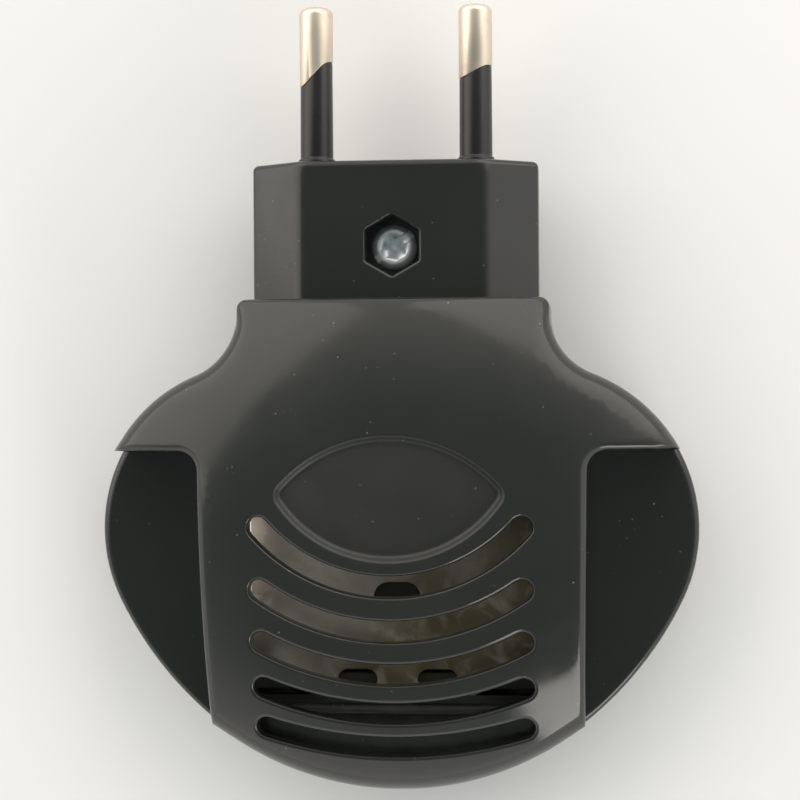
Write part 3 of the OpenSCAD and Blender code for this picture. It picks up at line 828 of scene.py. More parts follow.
def new_tree(name, inputs):
    """Geometry node tree with named inputs, and its input and output nodes."""
    tree = bpy.data.node_groups.new(name, "GeometryNodeTree")
    tree.interface.new_socket("Geometry", in_out="INPUT", socket_type="NodeSocketGeometry")
    for label, value in inputs.items():
        kind = {int: "NodeSocketInt", float: "NodeSocketFloat"}.get(type(value), "NodeSocketMaterial")
        socket = tree.interface.new_socket(label, in_out="INPUT", socket_type=kind)
        if kind != "NodeSocketMaterial":
            socket.default_value = value
    tree.interface.new_socket("Geometry", in_out="OUTPUT", socket_type="NodeSocketGeometry")
    return tree, tree.nodes.new("NodeGroupInput"), tree.nodes.new("NodeGroupOutput")


def end_tree(tree, given, made, geometry):
    """Ends a tree in real geometry with its material."""
    real = put(tree, "GeometryNodeRealizeInstances", {"Geometry": geometry})
    painted = put(
        tree,
        "GeometryNodeSetMaterial",
        {"Geometry": real.outputs["Geometry"], "Material": given.outputs["Material"]},
    )
    tree.links.new(painted.outputs["Geometry"], made.inputs["Geometry"])


def grown(source, tree, name, **values):
    """Plain mesh object that a tree makes from a source object, which is then removed."""
    modifier = source.modifiers.new("Growth", "NODES")
    modifier.node_group = tree
    sockets = {item.name: item.identifier for item in tree.interface.items_tree if item.in_out == "INPUT"}
    for label, value in values.items():
        modifier[sockets[label.replace("_", " ")]] = value
    graph = bpy.context.evaluated_depsgraph_get()
    mesh = bpy.data.meshes.new_from_object(source.evaluated_get(graph))
    mesh.name = name
    bpy.data.objects.remove(source)
    return placed_piece(name, mesh)


def wire_tree():
    """Round insulated wire along a curve."""
    tree, given, made = new_tree("Insulated wire", {"Radius": 0.9 * MM, "Sides": 20, "Material": None})
    smooth = put(
        tree,
        "GeometryNodeCurveSplineType",
        {"Curve": given.outputs["Geometry"]},
        spline_type="CATMULL_ROM",
    )
    even = put(
        tree,
        "GeometryNodeResampleCurve",
        {"Curve": smooth.outputs["Curve"], "Length": 0.35 * MM},
        mode="LENGTH",
    )
    ring = put(
        tree,
        "GeometryNodeCurvePrimitiveCircle",
        {"Resolution": given.outputs["Sides"], "Radius": given.outputs["Radius"]},
    )
    tube = put(
        tree,
        "GeometryNodeCurveToMesh",
        {"Curve": even.outputs["Curve"], "Profile Curve": ring.outputs["Curve"], "Fill Caps": True},
    )
    end_tree(tree, given, made, tube.outputs["Mesh"])
    return tree


insulated_wire = wire_tree()
lead_silicone = plastic("lead_insulation", (0.52, 0.5, 0.44), 0.5, dust_and_glints=0.1, grain=0.3)
tinned = metal("tinned", (0.55, 0.54, 0.5), 0.3, stains=0.3)
for side, sign in (("left", 1), ("right", -1)):
    route = bpy.data.curves.new(f"route_{side}", "CURVE")
    route.dimensions = "3D"
    line = route.splines.new("POLY")
    line.points.add(len(LEAD_ROUTE) - 1)
    for point, (x, y, z) in zip(line.points, LEAD_ROUTE):
        point.co = (sign * x * MM, y * MM, z * MM, 1.0)
    source = placed_piece(f"route_{side}", route)
    wire = grown(
        source, insulated_wire, f"wire_{side}", Radius=LEAD_R * MM, Sides=20, Material=lead_silicone
    )
    wire.data.shade_smooth()
    wire.data.set_sharp_from_angle(angle=radians(50))
    finish_piece(wire, lead_silicone, "lead_insulation", f"lead_{side}")
    crimp = rounded_copy(f"ferrule_{side}", f"pin_crimp_{side}", 0.1)
    finish_piece(crimp, tinned, "tinned", f"ferrule_{side}")
tab_crimps = rounded_copy("tab_ferrules", "tab_crimps", 0.25)
finish_piece(tab_crimps, tinned, "tinned", "tab_ferrules")

# ---------------------------------------------------------------------------------------------
# Heater. A block of heat-proof ceramic holds a bowed steel spring, which presses two heating
# stones between two electrodes and two sheets of mica against a pressed aluminium plate.
# ---------------------------------------------------------------------------------------------


def fired_ceramic(name, colour, speck, scale, roughness):
    """Material of a fired body: a mottled colour and a fine rough skin."""
    tree, shader, material = node_material(name)
    place = own_place(tree)
    mottle = noise(tree, place, scale, 6.0, Roughness=0.7)
    grains = put(tree, "ShaderNodeTexVoronoi", {"Vector": place, "Scale": scale * 6}).outputs["Distance"]
    tone = blend(tree, mottle, (*colour, 1.0), (*speck, 1.0))
    rough = ranged(tree, grains, made=(roughness - 0.08, roughness + 0.08))
    paint(tree, shader, tone, rough, grains, 0.02 * MM)
    return material


holder_ceramic = fired_ceramic("holder_ceramic", (0.03, 0.028, 0.026), (0.014, 0.013, 0.012), 300.0, 0.6)
stone_grey = fired_ceramic("heating_ceramic", (0.1, 0.1, 0.11), (0.18, 0.18, 0.19), 500.0, 0.6)
spring_steel = metal("spring_steel", (0.5, 0.5, 0.5), 0.25, stains=0.2, streaks=0.8)
mica_sheet = fired_ceramic("mica", (0.022, 0.018, 0.011), (0.04, 0.033, 0.02), 180.0, 0.4)
plate_metal = metal(
    "pressed_aluminium", (0.6, 0.53, 0.44), 0.42, stain=(0.74, 0.68, 0.6), stains=0.7, streaks=0.4
)


def lit_and_shaded_tint(material, lit_colour, shaded_colour):
    """Painted light and shade on the metal: its colour passes from a painted lit tone at the upper left to a
    painted shaded dark brown at the lower right.
    """
    tree = material.node_tree
    skin = next(node for node in tree.nodes if node.type == "GROUP")
    place = own_place(tree)
    across = put(tree, "ShaderNodeSeparateXYZ", {"Vector": place}).outputs
    shifted = maths(tree, "MULTIPLY_ADD", noise(tree, place, 110.0, 5.0), 0.022, across["X"])
    lowered = maths(tree, "MULTIPLY_ADD", across["Y"], -1.4, shifted)
    share = ranged(tree, lowered, (0.028, 0.053), interpolation_type="SMOOTHSTEP")
    tree.links.new(blend(tree, share, (*lit_colour, 1.0), (*shaded_colour, 1.0)), skin.inputs["Colour"])


# Painted light and shade on the warm plate: bright at the upper left, dark brown towards the lower right.
lit_and_shaded_tint(plate_metal, (1.0, 0.9, 0.79), (0.3, 0.245, 0.165))
for node, name, material, slot, radius in [
    ("heater_holder", "ceramic_holder", holder_ceramic, "holder_ceramic", 0.3),
    ("pressure_spring", "leaf_spring", spring_steel, "spring_steel", 0.1),
    ("mica_lower", "lower_mica", mica_sheet, "mica", 0.04),
    ("electrode_lower", "lower_electrode", spring_steel, "spring_steel", 0.06),
    ("heating_stones", "heater_stones", stone_grey, "heating_ceramic", 0.2),
    ("electrode_upper", "upper_electrode", spring_steel, "spring_steel", 0.06),
    ("mica_upper", "upper_mica", mica_sheet, "mica", 0.04),
    ("heater_plate", "warm_plate", plate_metal, "pressed_aluminium", 0.18),
]:
    finish_piece(rounded_copy(node, name, radius), material, slot, node)

# ---------------------------------------------------------------------------------------------
# Middle frame. A dark ABS deck that shows in both wings and under the lowest slots, with guide
# rails for the mat and the front half of the plug block, whose hexagon takes the plug screw.
# ---------------------------------------------------------------------------------------------

DECK_Z = 10.5
DECK_FOOT_Z = 9.5
WING_TOP_Y = -6.2
TONGUE_HALF_W = 22.4
TONGUE_TAPER = 0.5
DECK_GAP = 0.15
WING_RIM_R = 0.9
OPENING_HALF_W = 13.0
OPENING_Y = -1.5
HOOK_NOTCH = (4.2, -43.0)
HEATER_WINDOW = (17.65, 11.15)
HOLDER_POST_X = 20.4
HOLDER_POST_R = 2.6
HOLDER_BORE_R = 1.12
RAIL_AWAY = 12.6
RAIL_HALF = (17.5, 0.5)
RAIL_Z = (10.3, 12.6)
HOLDER_POST_Z = (7.0, 9.6)


def deck_path(rim_in):
    """Closed outline of the deck: round the opening behind the plug, inside the cover's wall, and out to
    the body's edge in the wings, where it is moved inwards by rim_in."""
    inner = WALL + DECK_GAP
    wing_y = WING_TOP_Y - DECK_GAP
    low_x = TONGUE_HALF_W + DECK_GAP - TONGUE_TAPER
    turn_in = degrees(np.arcsin((wing_y - SIDE_C[1]) / (SIDE_R - inner)))
    turn_out = degrees(np.arcsin((wing_y - SIDE_C[1]) / (SIDE_R - rim_in)))
    flank_out = -degrees(np.arccos((low_x - FLANK_C[0]) / (FLANK_R - rim_in)))
    flank_in = -degrees(np.arccos((low_x - FLANK_C[0]) / (FLANK_R - inner)))
    side_x, top_y = NECK_HALF_W - inner, NECK_TOP_Y - inner
    hook_x, hook_y = HOOK_NOTCH
    hook_turn = -degrees(np.arccos(hook_x / (BOTTOM_R - inner)))
    half = np.vstack(
        [
            line_points((0.0, OPENING_Y), (OPENING_HALF_W, OPENING_Y), 8),
            line_points((OPENING_HALF_W, OPENING_Y), (OPENING_HALF_W, top_y), 8)[1:],
            line_points((OPENING_HALF_W, top_y), (side_x - 0.1, top_y), 4)[1:],
            arc_points(NECK_C, NECK_R + inner, 180, 180 + SHOULDER_TURN, 28),
            arc_points(SIDE_C, SIDE_R - inner, SHOULDER_TURN, turn_in, 14)[1:],
            arc_points(SIDE_C, SIDE_R - rim_in, turn_out, -FLANK_TURN, 36),
            arc_points(FLANK_C, FLANK_R - rim_in, -FLANK_TURN, flank_out, 18)[1:],
            arc_points(FLANK_C, FLANK_R - inner, flank_in, FLANK_END, 4),
            arc_points(BOTTOM_C, BOTTOM_R - inner, FLANK_END, hook_turn, 14)[1:],
            line_points((hook_x, hook_y), (0.0, hook_y), 4),
        ]
    )
    return led_round_posts(np.vstack([half, half[-2:0:-1] * [-1, 1]]), POST_R - 1)


def pillar(shell, path_at, low_z, high_z, r=0.2):
    """Closed upright form with a rounded upper edge; path_at gives its outline, moved inwards."""
    rings = [shell.ring(path_at(0), low_z)]
    rings += [shell.ring(path_at(r * across), high_z - r * along) for across, along in rolled(3)]
    shell.faces.append(tuple(rings[0]))
    shell.walls(rings)
    shell.faces.append(tuple(rings[-1]))


def hollow_post(shell, x, y, outer_r, inner_r, low_z, high_z):
    """Closed tube that stands on its ring-shaped foot."""
    rings = [
        shell.ring(circle_path(x, y, r, 28), z)
        for r, z in ((outer_r, low_z), (outer_r, high_z), (inner_r, high_z), (inner_r, low_z))
    ]
    shell.walls(rings + rings[:1])


def deck_mesh(shell):
    """Deck with its window for the heater, two rails for the mat and two posts for the holder."""
    rings = [shell.ring(deck_path(0), DECK_FOOT_Z)]
    for across, along in rolled(5):
        path = deck_path(WING_RIM_R * across)
        beside = np.abs(path[:, 0]) > TONGUE_HALF_W - TONGUE_TAPER
        wing = beside & (path[:, 1] < WING_TOP_Y - DECK_GAP + 0.01)
        rings.append(shell.ring(path, DECK_Z - np.where(wing, WING_RIM_R * along, 0.0)))
    shell.walls(rings)
    windows = [box_path(0, HEATER_Y, *HEATER_WINDOW, 0.3)]
    windows += [circle_path(x, HEATER_Y, HOLDER_BORE_R, 20) for x in (-HOLDER_POST_X, HOLDER_POST_X)]
    upper = [(hole, shell.ring(hole, DECK_Z)) for hole in windows]
    lower = [(hole, shell.ring(hole, DECK_FOOT_Z)) for hole in windows]
    for (_, top), (_, bottom) in zip(upper, lower):
        shell.wall(top, bottom)
    shell.cover_over((path, rings[-1]), upper, 1.3, lambda p: at_height(p, DECK_Z))
    shell.cover_over((deck_path(0), rings[0]), lower, 2.5, lambda p: at_height(p, DECK_FOOT_Z))
    for side in (-1, 1):
        y = HEATER_Y + side * RAIL_AWAY
        pillar(shell, lambda inset: box_path(0, y, RAIL_HALF[0] - inset, RAIL_HALF[1] - inset, 0.3), *RAIL_Z)
        hollow_post(shell, side * HOLDER_POST_X, HEATER_Y, HOLDER_POST_R, HOLDER_BORE_R, *HOLDER_POST_Z)


def mark(piece, attribute, test):
    """Sets an attribute of the mesh to 1 at the points that pass a test, and to 0 elsewhere."""
    spots = np.array([corner.co for corner in piece.data.vertices]) / MM
    layer = piece.data.attributes.new(attribute, "FLOAT", "POINT")
    layer.data.foreach_set("value", test(spots).astype(np.float32))


def under_low_slots(spots):
    x, y, z = spots.T
    return (np.abs(x) < TONGUE_HALF_W - 3) & (y < HEATER_Y - 8) & (z > DECK_Z - 0.1)


def grey_film(material, attribute, colour):
    """Greys the colour with a cloudy film wherever the named attribute of the mesh is set."""
    tree = material.node_tree
    target = tree.nodes["Principled BSDF"].inputs["Base Color"]
    clean = target.links[0].from_socket
    where = put(tree, "ShaderNodeAttribute", attribute_name=attribute).outputs["Fac"]
    patchy = ranged(tree, noise(tree, own_place(tree), 500.0, 5.0), made=(0.4, 1.0))
    share = maths(tree, "MULTIPLY", where, patchy)
    tree.links.new(blend(tree, share, clean, (*colour, 1.0)), target)


# Painted shade: the same black plastic as the cover, given a darker colour so that the deck in the wings
# looks darker.
frame_black_shaded = plastic("frame_plastic", (0.016, 0.0172, 0.0155), 0.16, dust_and_glints=0.5, grain=0.15)
deck = Shell()
deck_mesh(deck)
block_half(deck, 1)
middle_frame = deck.piece("deck_and_plug", 35)
# The deck under the lowest slots gets a lighter, patchy grey film.
mark(middle_frame, "greyed", under_low_slots)
grey_film(frame_black_shaded, "greyed", (0.085, 0.088, 0.075))
finish_piece(middle_frame, frame_black_shaded, "frame_plastic", "middle_frame")

# ---------------------------------------------------------------------------------------------
# Plug screw and its nut. A zinc-plated machine screw with a slot and a cross in its domed head
# clamps both halves of the block, and the nut sits in the rear hexagon.
# ---------------------------------------------------------------------------------------------

zinc = metal("zinc", (0.93, 0.97, 1.0), 0.3, (0.72, 0.78, 0.86), 0.4, 0.3, metallic=0.62)
SCREW_TURN = 36.0
GROOVE_TOP = 2.4
SCREW_SEAT = PARTING_Z + BLOCK_HALF_T - HEX_DEPTH


def screw_blank():
    """Domed head with a flat top, and its shank; closed."""
    profile = [(1.4, -7.0), (1.5, -6.9), (1.5, 0.0), (2.65, 0.0), (2.75, 0.1), (2.75, 0.85), (2.7, 1.05)]
    profile += [(2.6, 1.25), (2.45, 1.44), (2.28, 1.6), (2.1, 1.74), (2.0, 1.8), (1.9, 1.83)]
    shell = Shell()
    rings = [shell.ring(circle_path(0, PLUG_SCREW_Y, r, 72), SCREW_SEAT + z) for r, z in profile]
    shell.walls(rings)
    shell.faces += [tuple(rings[0]), tuple(rings[-1])]
    return shell


def groove_cutter(turn, half_l, half_w, low_half_l, low_half_w, low_z):
    """Tapered bar that cuts one groove of the drive, turned about the screw's axis."""
    shell = Shell()
    spin = Matrix.Rotation(radians(turn), 2)
    rings = []
    for length, width, z in ((half_l, half_w, GROOVE_TOP), (low_half_l, low_half_w, low_z)):
        corners = ((-length, -width), (length, -width), (length, width), (-length, width))
        path = np.array([spin @ Vector(corner) for corner in corners]) + [0, PLUG_SCREW_Y]
        rings.append(shell.ring(path, SCREW_SEAT + z))
    shell.wall(*rings)
    shell.faces += [tuple(ring) for ring in rings]
    return shell.piece("groove_cutter", 40)


def cut_by(piece, cutters, rounding):
    """Takes the cutters out of a piece for good and rounds its sharp edges."""
    for cutter in cutters:
        cut = piece.modifiers.new("Groove", "BOOLEAN")
        cut.object = cutter
    edges = piece.modifiers.new("Rounded edges", "BEVEL")
    edges.limit_method = "ANGLE"
    edges.angle_limit = radians(35)
    edges.width = rounding * MM
    edges.segments = 2
    done = piece.evaluated_get(bpy.context.evaluated_depsgraph_get())
    mesh = bpy.data.meshes.new_from_object(done)
    piece.modifiers.clear()
    piece.data = mesh
    for cutter in cutters:
        bpy.data.objects.remove(cutter)


plug_screw = screw_blank().piece("combination_screw", 30)
cut_by(
    plug_screw,
    [
        groove_cutter(SCREW_TURN, 3.2, 0.5, 3.2, 0.44, 1.1),
        groove_cutter(SCREW_TURN, 1.95, 0.66, 0.4, 0.4, 0.2),
        groove_cutter(SCREW_TURN + 90, 1.95, 0.66, 0.4, 0.4, 0.2),
    ],
    0.04,
)
finish_piece(outward(plug_screw), zinc, "zinc", "plug_screw")
plug_nut = rounded_copy("plug_nut", "block_nut", 0.15)
finish_piece(plug_nut, zinc, "zinc", "plug_nut")

# ---------------------------------------------------------------------------------------------
# Front cover. A gloss dark grey ABS shell with a neck over the plug, a lens-shaped recess and
# five curved air slots. It snaps over the middle frame and is cut away over both wings.
# ---------------------------------------------------------------------------------------------

CROWN_Z = 24.0
CROWN_R = 58.0
CROSS_R = 78.0
CROWN_Y = -11.5
WING_CORNER_R = 2.3
BOTTOM_Y = -46.5
WINDOW_Y = (-36.2, -12.2)
SLOT_ROWS = [(-21.5, 6.7), (-26.7, 4.7), (-31.8, 3.7), (-36.5, 2.9), (-40.7, 2.2)]
SLOT_HALF_L = 15.0
SLOT_W = 2.5
LENS_HALF_L = 13.2
LENS_Y = -11.0
LENS_RISE = 6.4
LENS_FALL = 7.5
LENS_DEPTH = 0.9
LENS_TIP_R = 1.4
SLOT_EDGE_R = 0.45
COVER_POST_R = 2.45
COVER_BORE_R = 1.42
COVER_POST_TOP_Z = 19.5
HOOK_Y = -43.75
HOOK_HALF = (3.8, 0.7)
HOOK_Z = (5.0, 13.5)


def crown_height(points, inset=0.0):
    """Height of the curved front, its surface moved inwards by inset."""
    across = CROWN_R - CROSS_R + np.sqrt((CROSS_R - inset) ** 2 - np.square(points[:, 0]))
    return CROWN_Z - CROWN_R + np.sqrt(across**2 - np.square(points[:, 1] - CROWN_Y))


def cover_half_path(edge_in, wing_in, lip_in):
    """Right half of the cover's edge from the lip to the bottom, moved inwards by up to three amounts.
    Returns the points and, for each, the kind of edge: 0 lip, 1 outer edge, 2 wing cut-out."""
    corner = max(0.1, CORNER_R - max(edge_in, lip_in))
    side_x = NECK_HALF_W - edge_in
    top_y = NECK_TOP_Y - lip_in
    wing_y = WING_TOP_Y + wing_in
    wing_x = TONGUE_HALF_W - wing_in
    wing_r = WING_CORNER_R + wing_in
    side_end = degrees(np.arcsin((wing_y - SIDE_C[1]) / (SIDE_R - edge_in)))
    outer_x = SIDE_C[0] + (SIDE_R - edge_in) * cos(radians(side_end))
    low_x = wing_x - TONGUE_TAPER
    low_y = BOTTOM_C[1] - sqrt((BOTTOM_R - edge_in) ** 2 - low_x**2)
    low_turn = degrees(atan2(low_y - BOTTOM_C[1], low_x))
    slope = TONGUE_TAPER / (wing_y - wing_r - BOTTOM_Y)

    def tongue_x(y):
        return wing_x - slope * (wing_y - wing_r - y)

    window_low = max(WINDOW_Y[0], low_y + 0.8)
    stops = [wing_y - wing_r, WINDOW_Y[1] + 0.03, WINDOW_Y[1] - 0.03]
    stops += [window_low + 0.03, window_low - 0.03, low_y]
    runs = []
    for high, low, count in zip(stops, stops[1:], [6, 2, 26, 2, 8]):
        runs.append(line_points((tongue_x(high), high), (tongue_x(low), low), count)[1:])
    parts = [
        (0, line_points((0.0, top_y), (side_x - corner, top_y), 22)),
        (0, arc_points((side_x - corner, top_y - corner), corner, 90, 0, 7)[1:]),
        (1, arc_points(NECK_C, NECK_R + edge_in, 180, 180 + SHOULDER_TURN, 22)),
        (1, arc_points(SIDE_C, SIDE_R - edge_in, SHOULDER_TURN, side_end, 26)[1:]),
        (2, line_points((outer_x, wing_y), (wing_x + wing_r, wing_y), 14)[1:]),
        (2, arc_points((wing_x + wing_r, wing_y - wing_r), wing_r, 90, 180, 8)[1:]),
        (2, np.vstack(runs)),
        (1, arc_points(BOTTOM_C, BOTTOM_R - edge_in, low_turn, -90, 34)[1:]),
    ]
    points = np.vstack([p for _, p in parts])
    kinds = np.concatenate([[kind] * len(p) for kind, p in parts])
    return points, kinds


def cover_path(edge_in, wing_in, lip_in):
    """Whole closed edge of the cover, clockwise from the middle of the lip."""
    points, kinds = cover_half_path(edge_in, wing_in, lip_in)
    left = points[-2:0:-1] * [-1, 1]
    return np.vstack([points, left]), np.concatenate([kinds, kinds[-2:0:-1]])


def slot_path(row, grow, along=44, round_end=9):
    """Closed edge of one curved slot, grown outwards by grow, anticlockwise."""
    mid_y, sag = row
    r = (SLOT_HALF_L**2 + sag**2) / (2 * sag)
    centre = (0.0, mid_y + r)
    half_w = SLOT_W / 2 + grow
    lean = degrees(atan2(sag - r, SLOT_HALF_L))
    ends = [(SLOT_HALF_L, mid_y + sag), (-SLOT_HALF_L, mid_y + sag)]
    return np.vstack(
        [
            arc_points(centre, r + half_w, 180 - lean - 360, lean, along)[:-1],
            arc_points(ends[0], half_w, lean, lean + 180, round_end)[:-1],
            arc_points(centre, r - half_w, lean, 180 - lean - 360, along)[:-1],
            arc_points(ends[1], half_w, -lean, 180 - lean, round_end)[:-1],
        ]
    )


def cap_radius(half_l, rise):
    return (half_l**2 + rise**2) / (2 * rise)


def lens_path(grow, along=46, round_end=9):
    """Closed edge of the lens-shaped recess with its rounded tips, grown outwards by grow."""
    r_up = cap_radius(LENS_HALF_L, LENS_RISE)
    r_low = cap_radius(LENS_HALF_L, LENS_FALL)
    up_y = LENS_Y + LENS_RISE - r_up
    low_y = LENS_Y - LENS_FALL + r_low
    a, b = r_up - LENS_TIP_R, r_low - LENS_TIP_R
    tip_y = (a**2 - b**2 - up_y**2 + low_y**2) / (2 * (low_y - up_y))
    tip_x = sqrt(a**2 - (tip_y - up_y) ** 2)
    up_turn = degrees(atan2(tip_y - up_y, tip_x))
    low_turn = degrees(atan2(tip_y - low_y, tip_x))
    return np.vstack(
        [
            arc_points((0, low_y), r_low + grow, -180 - low_turn, low_turn, along)[:-1],
            arc_points((tip_x, tip_y), LENS_TIP_R + grow, low_turn, up_turn, round_end)[:-1],
            arc_points((0, up_y), r_up + grow, up_turn, 180 - up_turn, along)[:-1],
            arc_points((-tip_x, tip_y), LENS_TIP_R + grow, 180 - up_turn, 180 - low_turn, round_end)[:-1],
        ]
    )


EDGE_R = np.array([0.6, 2.0, 0.9])  # rounding of the lip, of the outer edge and of the wing cut-outs


def even_out(values, reach):
    """Running mean along a closed path."""
    return sum(np.roll(values, k) for k in range(-reach, reach + 1)) / (2 * reach + 1)


def arch_height(path):
    """Height of the cover's edge over the plug block, and the parting plane elsewhere."""
    across = np.abs(path[:, 0])
    block = np.interp(across, [BLOCK_FRONT_HALF_W, BLOCK_HALF_W], [BLOCK_HALF_T, BLOCK_SIDE_HALF_T])
    over_block = (across < BLOCK_HALF_W + 0.1) & (path[:, 1] > BLOCK_Y)
    return PARTING_Z + np.where(over_block, block, 0.0)


def cover_mesh():
    """Front, edges, walls and inside of the cover, with its screw posts and its hook."""
    shell = Shell()

    # rounded outer edge: rings that climb from the side wall to the front
    rings = []
    for across, along in rolled(8):
        lip_in, edge_in, wing_in = EDGE_R * across
        path, kinds = cover_path(edge_in, wing_in, lip_in)
        r = even_out(EDGE_R[kinds], 3)
        rings.append(shell.ring(path, crown_height(path) - r * along))
    for ring, following in zip(rings, rings[1:]):
        shell.wall(following, ring)
    rim, front_edge = rings[0], (path, rings[-1])

    # slots: rounded edges
    slot_tops, holes = [], []
    for row in SLOT_ROWS:
        top, mouth = hole_rings(shell, lambda grow: slot_path(row, grow), crown_height, SLOT_EDGE_R, -1, 5)
        slot_tops.append(top)
        holes.append(mouth)

    # lens: a soft step down to a sunk floor that follows the front
    lens_steps = [(0.5, 0.0), (0.36, 0.02), (0.22, 0.08), (0.08, 0.2), (-0.06, 0.4), (-0.2, 0.6)]
    lens_steps += [(-0.34, 0.75), (-0.48, 0.85), (-0.62, 0.89), (-0.76, LENS_DEPTH)]
    rings = []
    for grow, drop in lens_steps:
        path = lens_path(grow)
        rings.append(shell.ring(path, crown_height(path) - drop))
    for ring, following in zip(rings, rings[1:]):
        shell.wall(following, ring)
    shell.cover_over((path, rings[-1]), [], 0.9, lambda p: at_height(p, crown_height(p) - LENS_DEPTH))

    # front between those edges
    holes.append((lens_path(lens_steps[0][0]), rings[0]))
    shell.cover_over(front_edge, holes, 0.8, lambda p: at_height(p, crown_height(p)))

    # side wall down to the parting plane, to the deck, or to the top of the mat windows
    path, kinds = cover_path(0, 0, 0)
    foot = np.where(kinds == 2, DECK_Z, PARTING_Z)
    beside_mat = (path[:, 1] < WINDOW_Y[1]) & (path[:, 1] > WINDOW_Y[0])
    beside_mat &= np.abs(path[:, 0]) < TONGUE_HALF_W + 0.6
    foot = np.where((kinds == 2) & beside_mat, crown_height(path, WALL + 0.6), foot)
    outer_foot = shell.ring(path, np.maximum(foot, arch_height(path)))
    shell.wall(rim, outer_foot)
    inner_path, _ = cover_path(WALL, WALL, WALL)
    inner_foot = shell.ring(inner_path, np.maximum(foot, arch_height(inner_path)))
    shell.wall(outer_foot, inner_foot)

    # inside of the shell, and the slots' walls down to it
    inner_ring = shell.ring(inner_path, np.maximum(crown_height(inner_path, WALL), foot))
    shell.wall(inner_foot, inner_ring)
    holes = []
    for row, top in zip(SLOT_ROWS, slot_tops):
        path = slot_path(row, 0)
        lower = shell.ring(path, crown_height(path, WALL))
        shell.wall(lower, top)
        holes.append((path, lower))
    shell.cover_over((inner_path, inner_ring), holes, 1.6, lambda p: at_height(p, crown_height(p, WALL)))
    for side in (-1, 1):
        x, y = side * POST_AT[0], POST_AT[1]
        hollow_post(shell, x, y, COVER_POST_R, COVER_BORE_R, PARTING_Z, COVER_POST_TOP_Z)
    pillar(shell, lambda inset: box_path(0, HOOK_Y, HOOK_HALF[0] - inset, HOOK_HALF[1] - inset, 0.3), *HOOK_Z)
    return shell


def in_lens(spots):
    return inside(spots[:, :2], lens_path(0.3)) & (spots[:, 2] > crown_height(spots, WALL) + 0.3)


def make_satin(material, attribute, rise):
    """Adds roughness wherever the named attribute of the mesh is set."""
    tree = material.node_tree
    target = tree.nodes["Principled BSDF"].inputs["Roughness"]
    plain = target.links[0].from_socket
    where = put(tree, "ShaderNodeAttribute", attribute_name=attribute).outputs["Fac"]
    tree.links.new(maths(tree, "MULTIPLY_ADD", where, rise, plain), target)


front_cover = cover_mesh().piece("front_shell", 50)
mark(front_cover, "satin", in_lens)
cover_gloss = plastic("cover_plastic", (0.021, 0.0222, 0.0198), 0.12, dust_and_glints=0.5, grain=0.04, waviness=1.6)
make_satin(cover_gloss, "satin", 0.3)
finish_piece(front_cover, cover_gloss, "cover_plastic", "front_cover")

# ---------------------------------------------------------------------------------------------
# Housing and holder screws. Zinc-plated pan heads with a cross; two clamp the shells from the
# back and two hold the ceramic block under the deck.
# ---------------------------------------------------------------------------------------------

for node, name in [("housing_screws", "shell_screws"), ("holder_screws", "ceramic_screws")]:
    finish_piece(rounded_copy(node, name, 0.2), zinc, "zinc", node)

# ---------------------------------------------------------------------------------------------
# Stage: pale floor, soft light and the camera.
# ---------------------------------------------------------------------------------------------

FLOOR_HALF = 0.6
FLOOR_Z = -0.0001


def floor_material():
    tree, shader, material = node_material("pale_floor")
    tone = ranged(tree, noise(tree, own_place(tree), 30.0, 4.0), made=(0.93, 0.96))
    tree.links.new(tone, shader.inputs["Base Color"])
    shader.inputs["Roughness"].default_value = 0.8
    return material


floor_mesh = bpy.data.meshes.new("floor")
floor_corners = [(x * FLOOR_HALF, y * FLOOR_HALF, FLOOR_Z) for x, y in ((-1, -1), (1, -1), (1, 1), (-1, 1))]
floor_mesh.from_pydata(floor_corners, [], [(0, 1, 2, 3)])
floor = placed_piece("floor", floor_mesh)
floor.data.materials.append(floor_material())

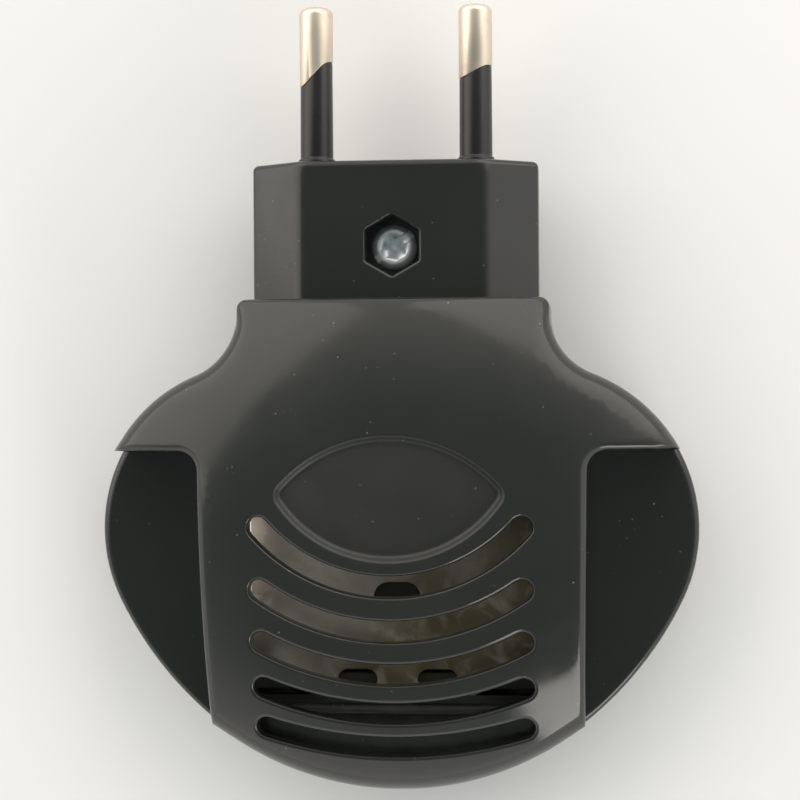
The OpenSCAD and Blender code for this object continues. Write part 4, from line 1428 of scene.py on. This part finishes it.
world = bpy.data.worlds.new("studio")
bpy.context.scene.world = world
world.use_nodes = True
sky = world.node_tree
facing = put(sky, "ShaderNodeTexCoord").outputs["Generated"]
overhead = put(sky, "ShaderNodeVectorMath", {0: facing, 1: (0.0, -0.29, 0.957)}, operation="DOT_PRODUCT")
level = ranged(
    sky, overhead.outputs["Value"], (0.35, 0.86), (1.35, 0.25), interpolation_type="SMOOTHSTEP"
)
tint = blend(sky, level, (0.84, 1.0, 0.97, 1.0), (1.0, 0.97, 0.93, 1.0))
sky.links.new(tint, sky.nodes["Background"].inputs["Color"])
sky.links.new(level, sky.nodes["Background"].inputs["Strength"])


def soft_box(name, place, target, size, power, colour):
    light = bpy.data.lights.new(name, "AREA")
    light.shape = "RECTANGLE"
    light.size, light.size_y = size
    light.energy = power
    light.color = colour
    lamp = placed_piece(name, light)
    lamp.location = place
    lamp.rotation_euler = (Vector(target) - Vector(place)).to_track_quat("-Z", "Y").to_euler()


soft_box("key_light", (-0.6, 0.42, 0.36), (0, 0, 0), (1.0, 0.8), 2.8, (1.0, 0.93, 0.84))
soft_box("fill_light", (0.42, 0.58, 0.34), (0, 0, 0), (0.9, 0.7), 2.6, (1.0, 0.94, 0.86))
soft_box("low_light", (0.34, -0.52, 0.24), (0, 0, 0), (0.3, 0.25), 1.1, (1.0, 0.97, 0.93))

CAMERA_PLACE = Vector((0.0218, -0.0004, 0.2585))
CAMERA_TARGET = Vector((0.00027, -0.000385, 0.0095))
CAMERA_ROLL = radians(0.35)
lens = bpy.data.cameras.new("camera")
lens.lens = 94.5
lens.sensor_width = 36.0
lens.clip_start = 0.01
camera = placed_piece("camera", lens)
camera.location = CAMERA_PLACE
ahead = (CAMERA_TARGET - CAMERA_PLACE).normalized()
right = ahead.cross(Vector((sin(CAMERA_ROLL), cos(CAMERA_ROLL), 0))).normalized()
up = right.cross(ahead)
camera.rotation_euler = Matrix((right, up, -ahead)).transposed().to_euler()
bpy.context.scene.camera = camera

bpy.context.scene.view_settings.view_transform = "Standard"
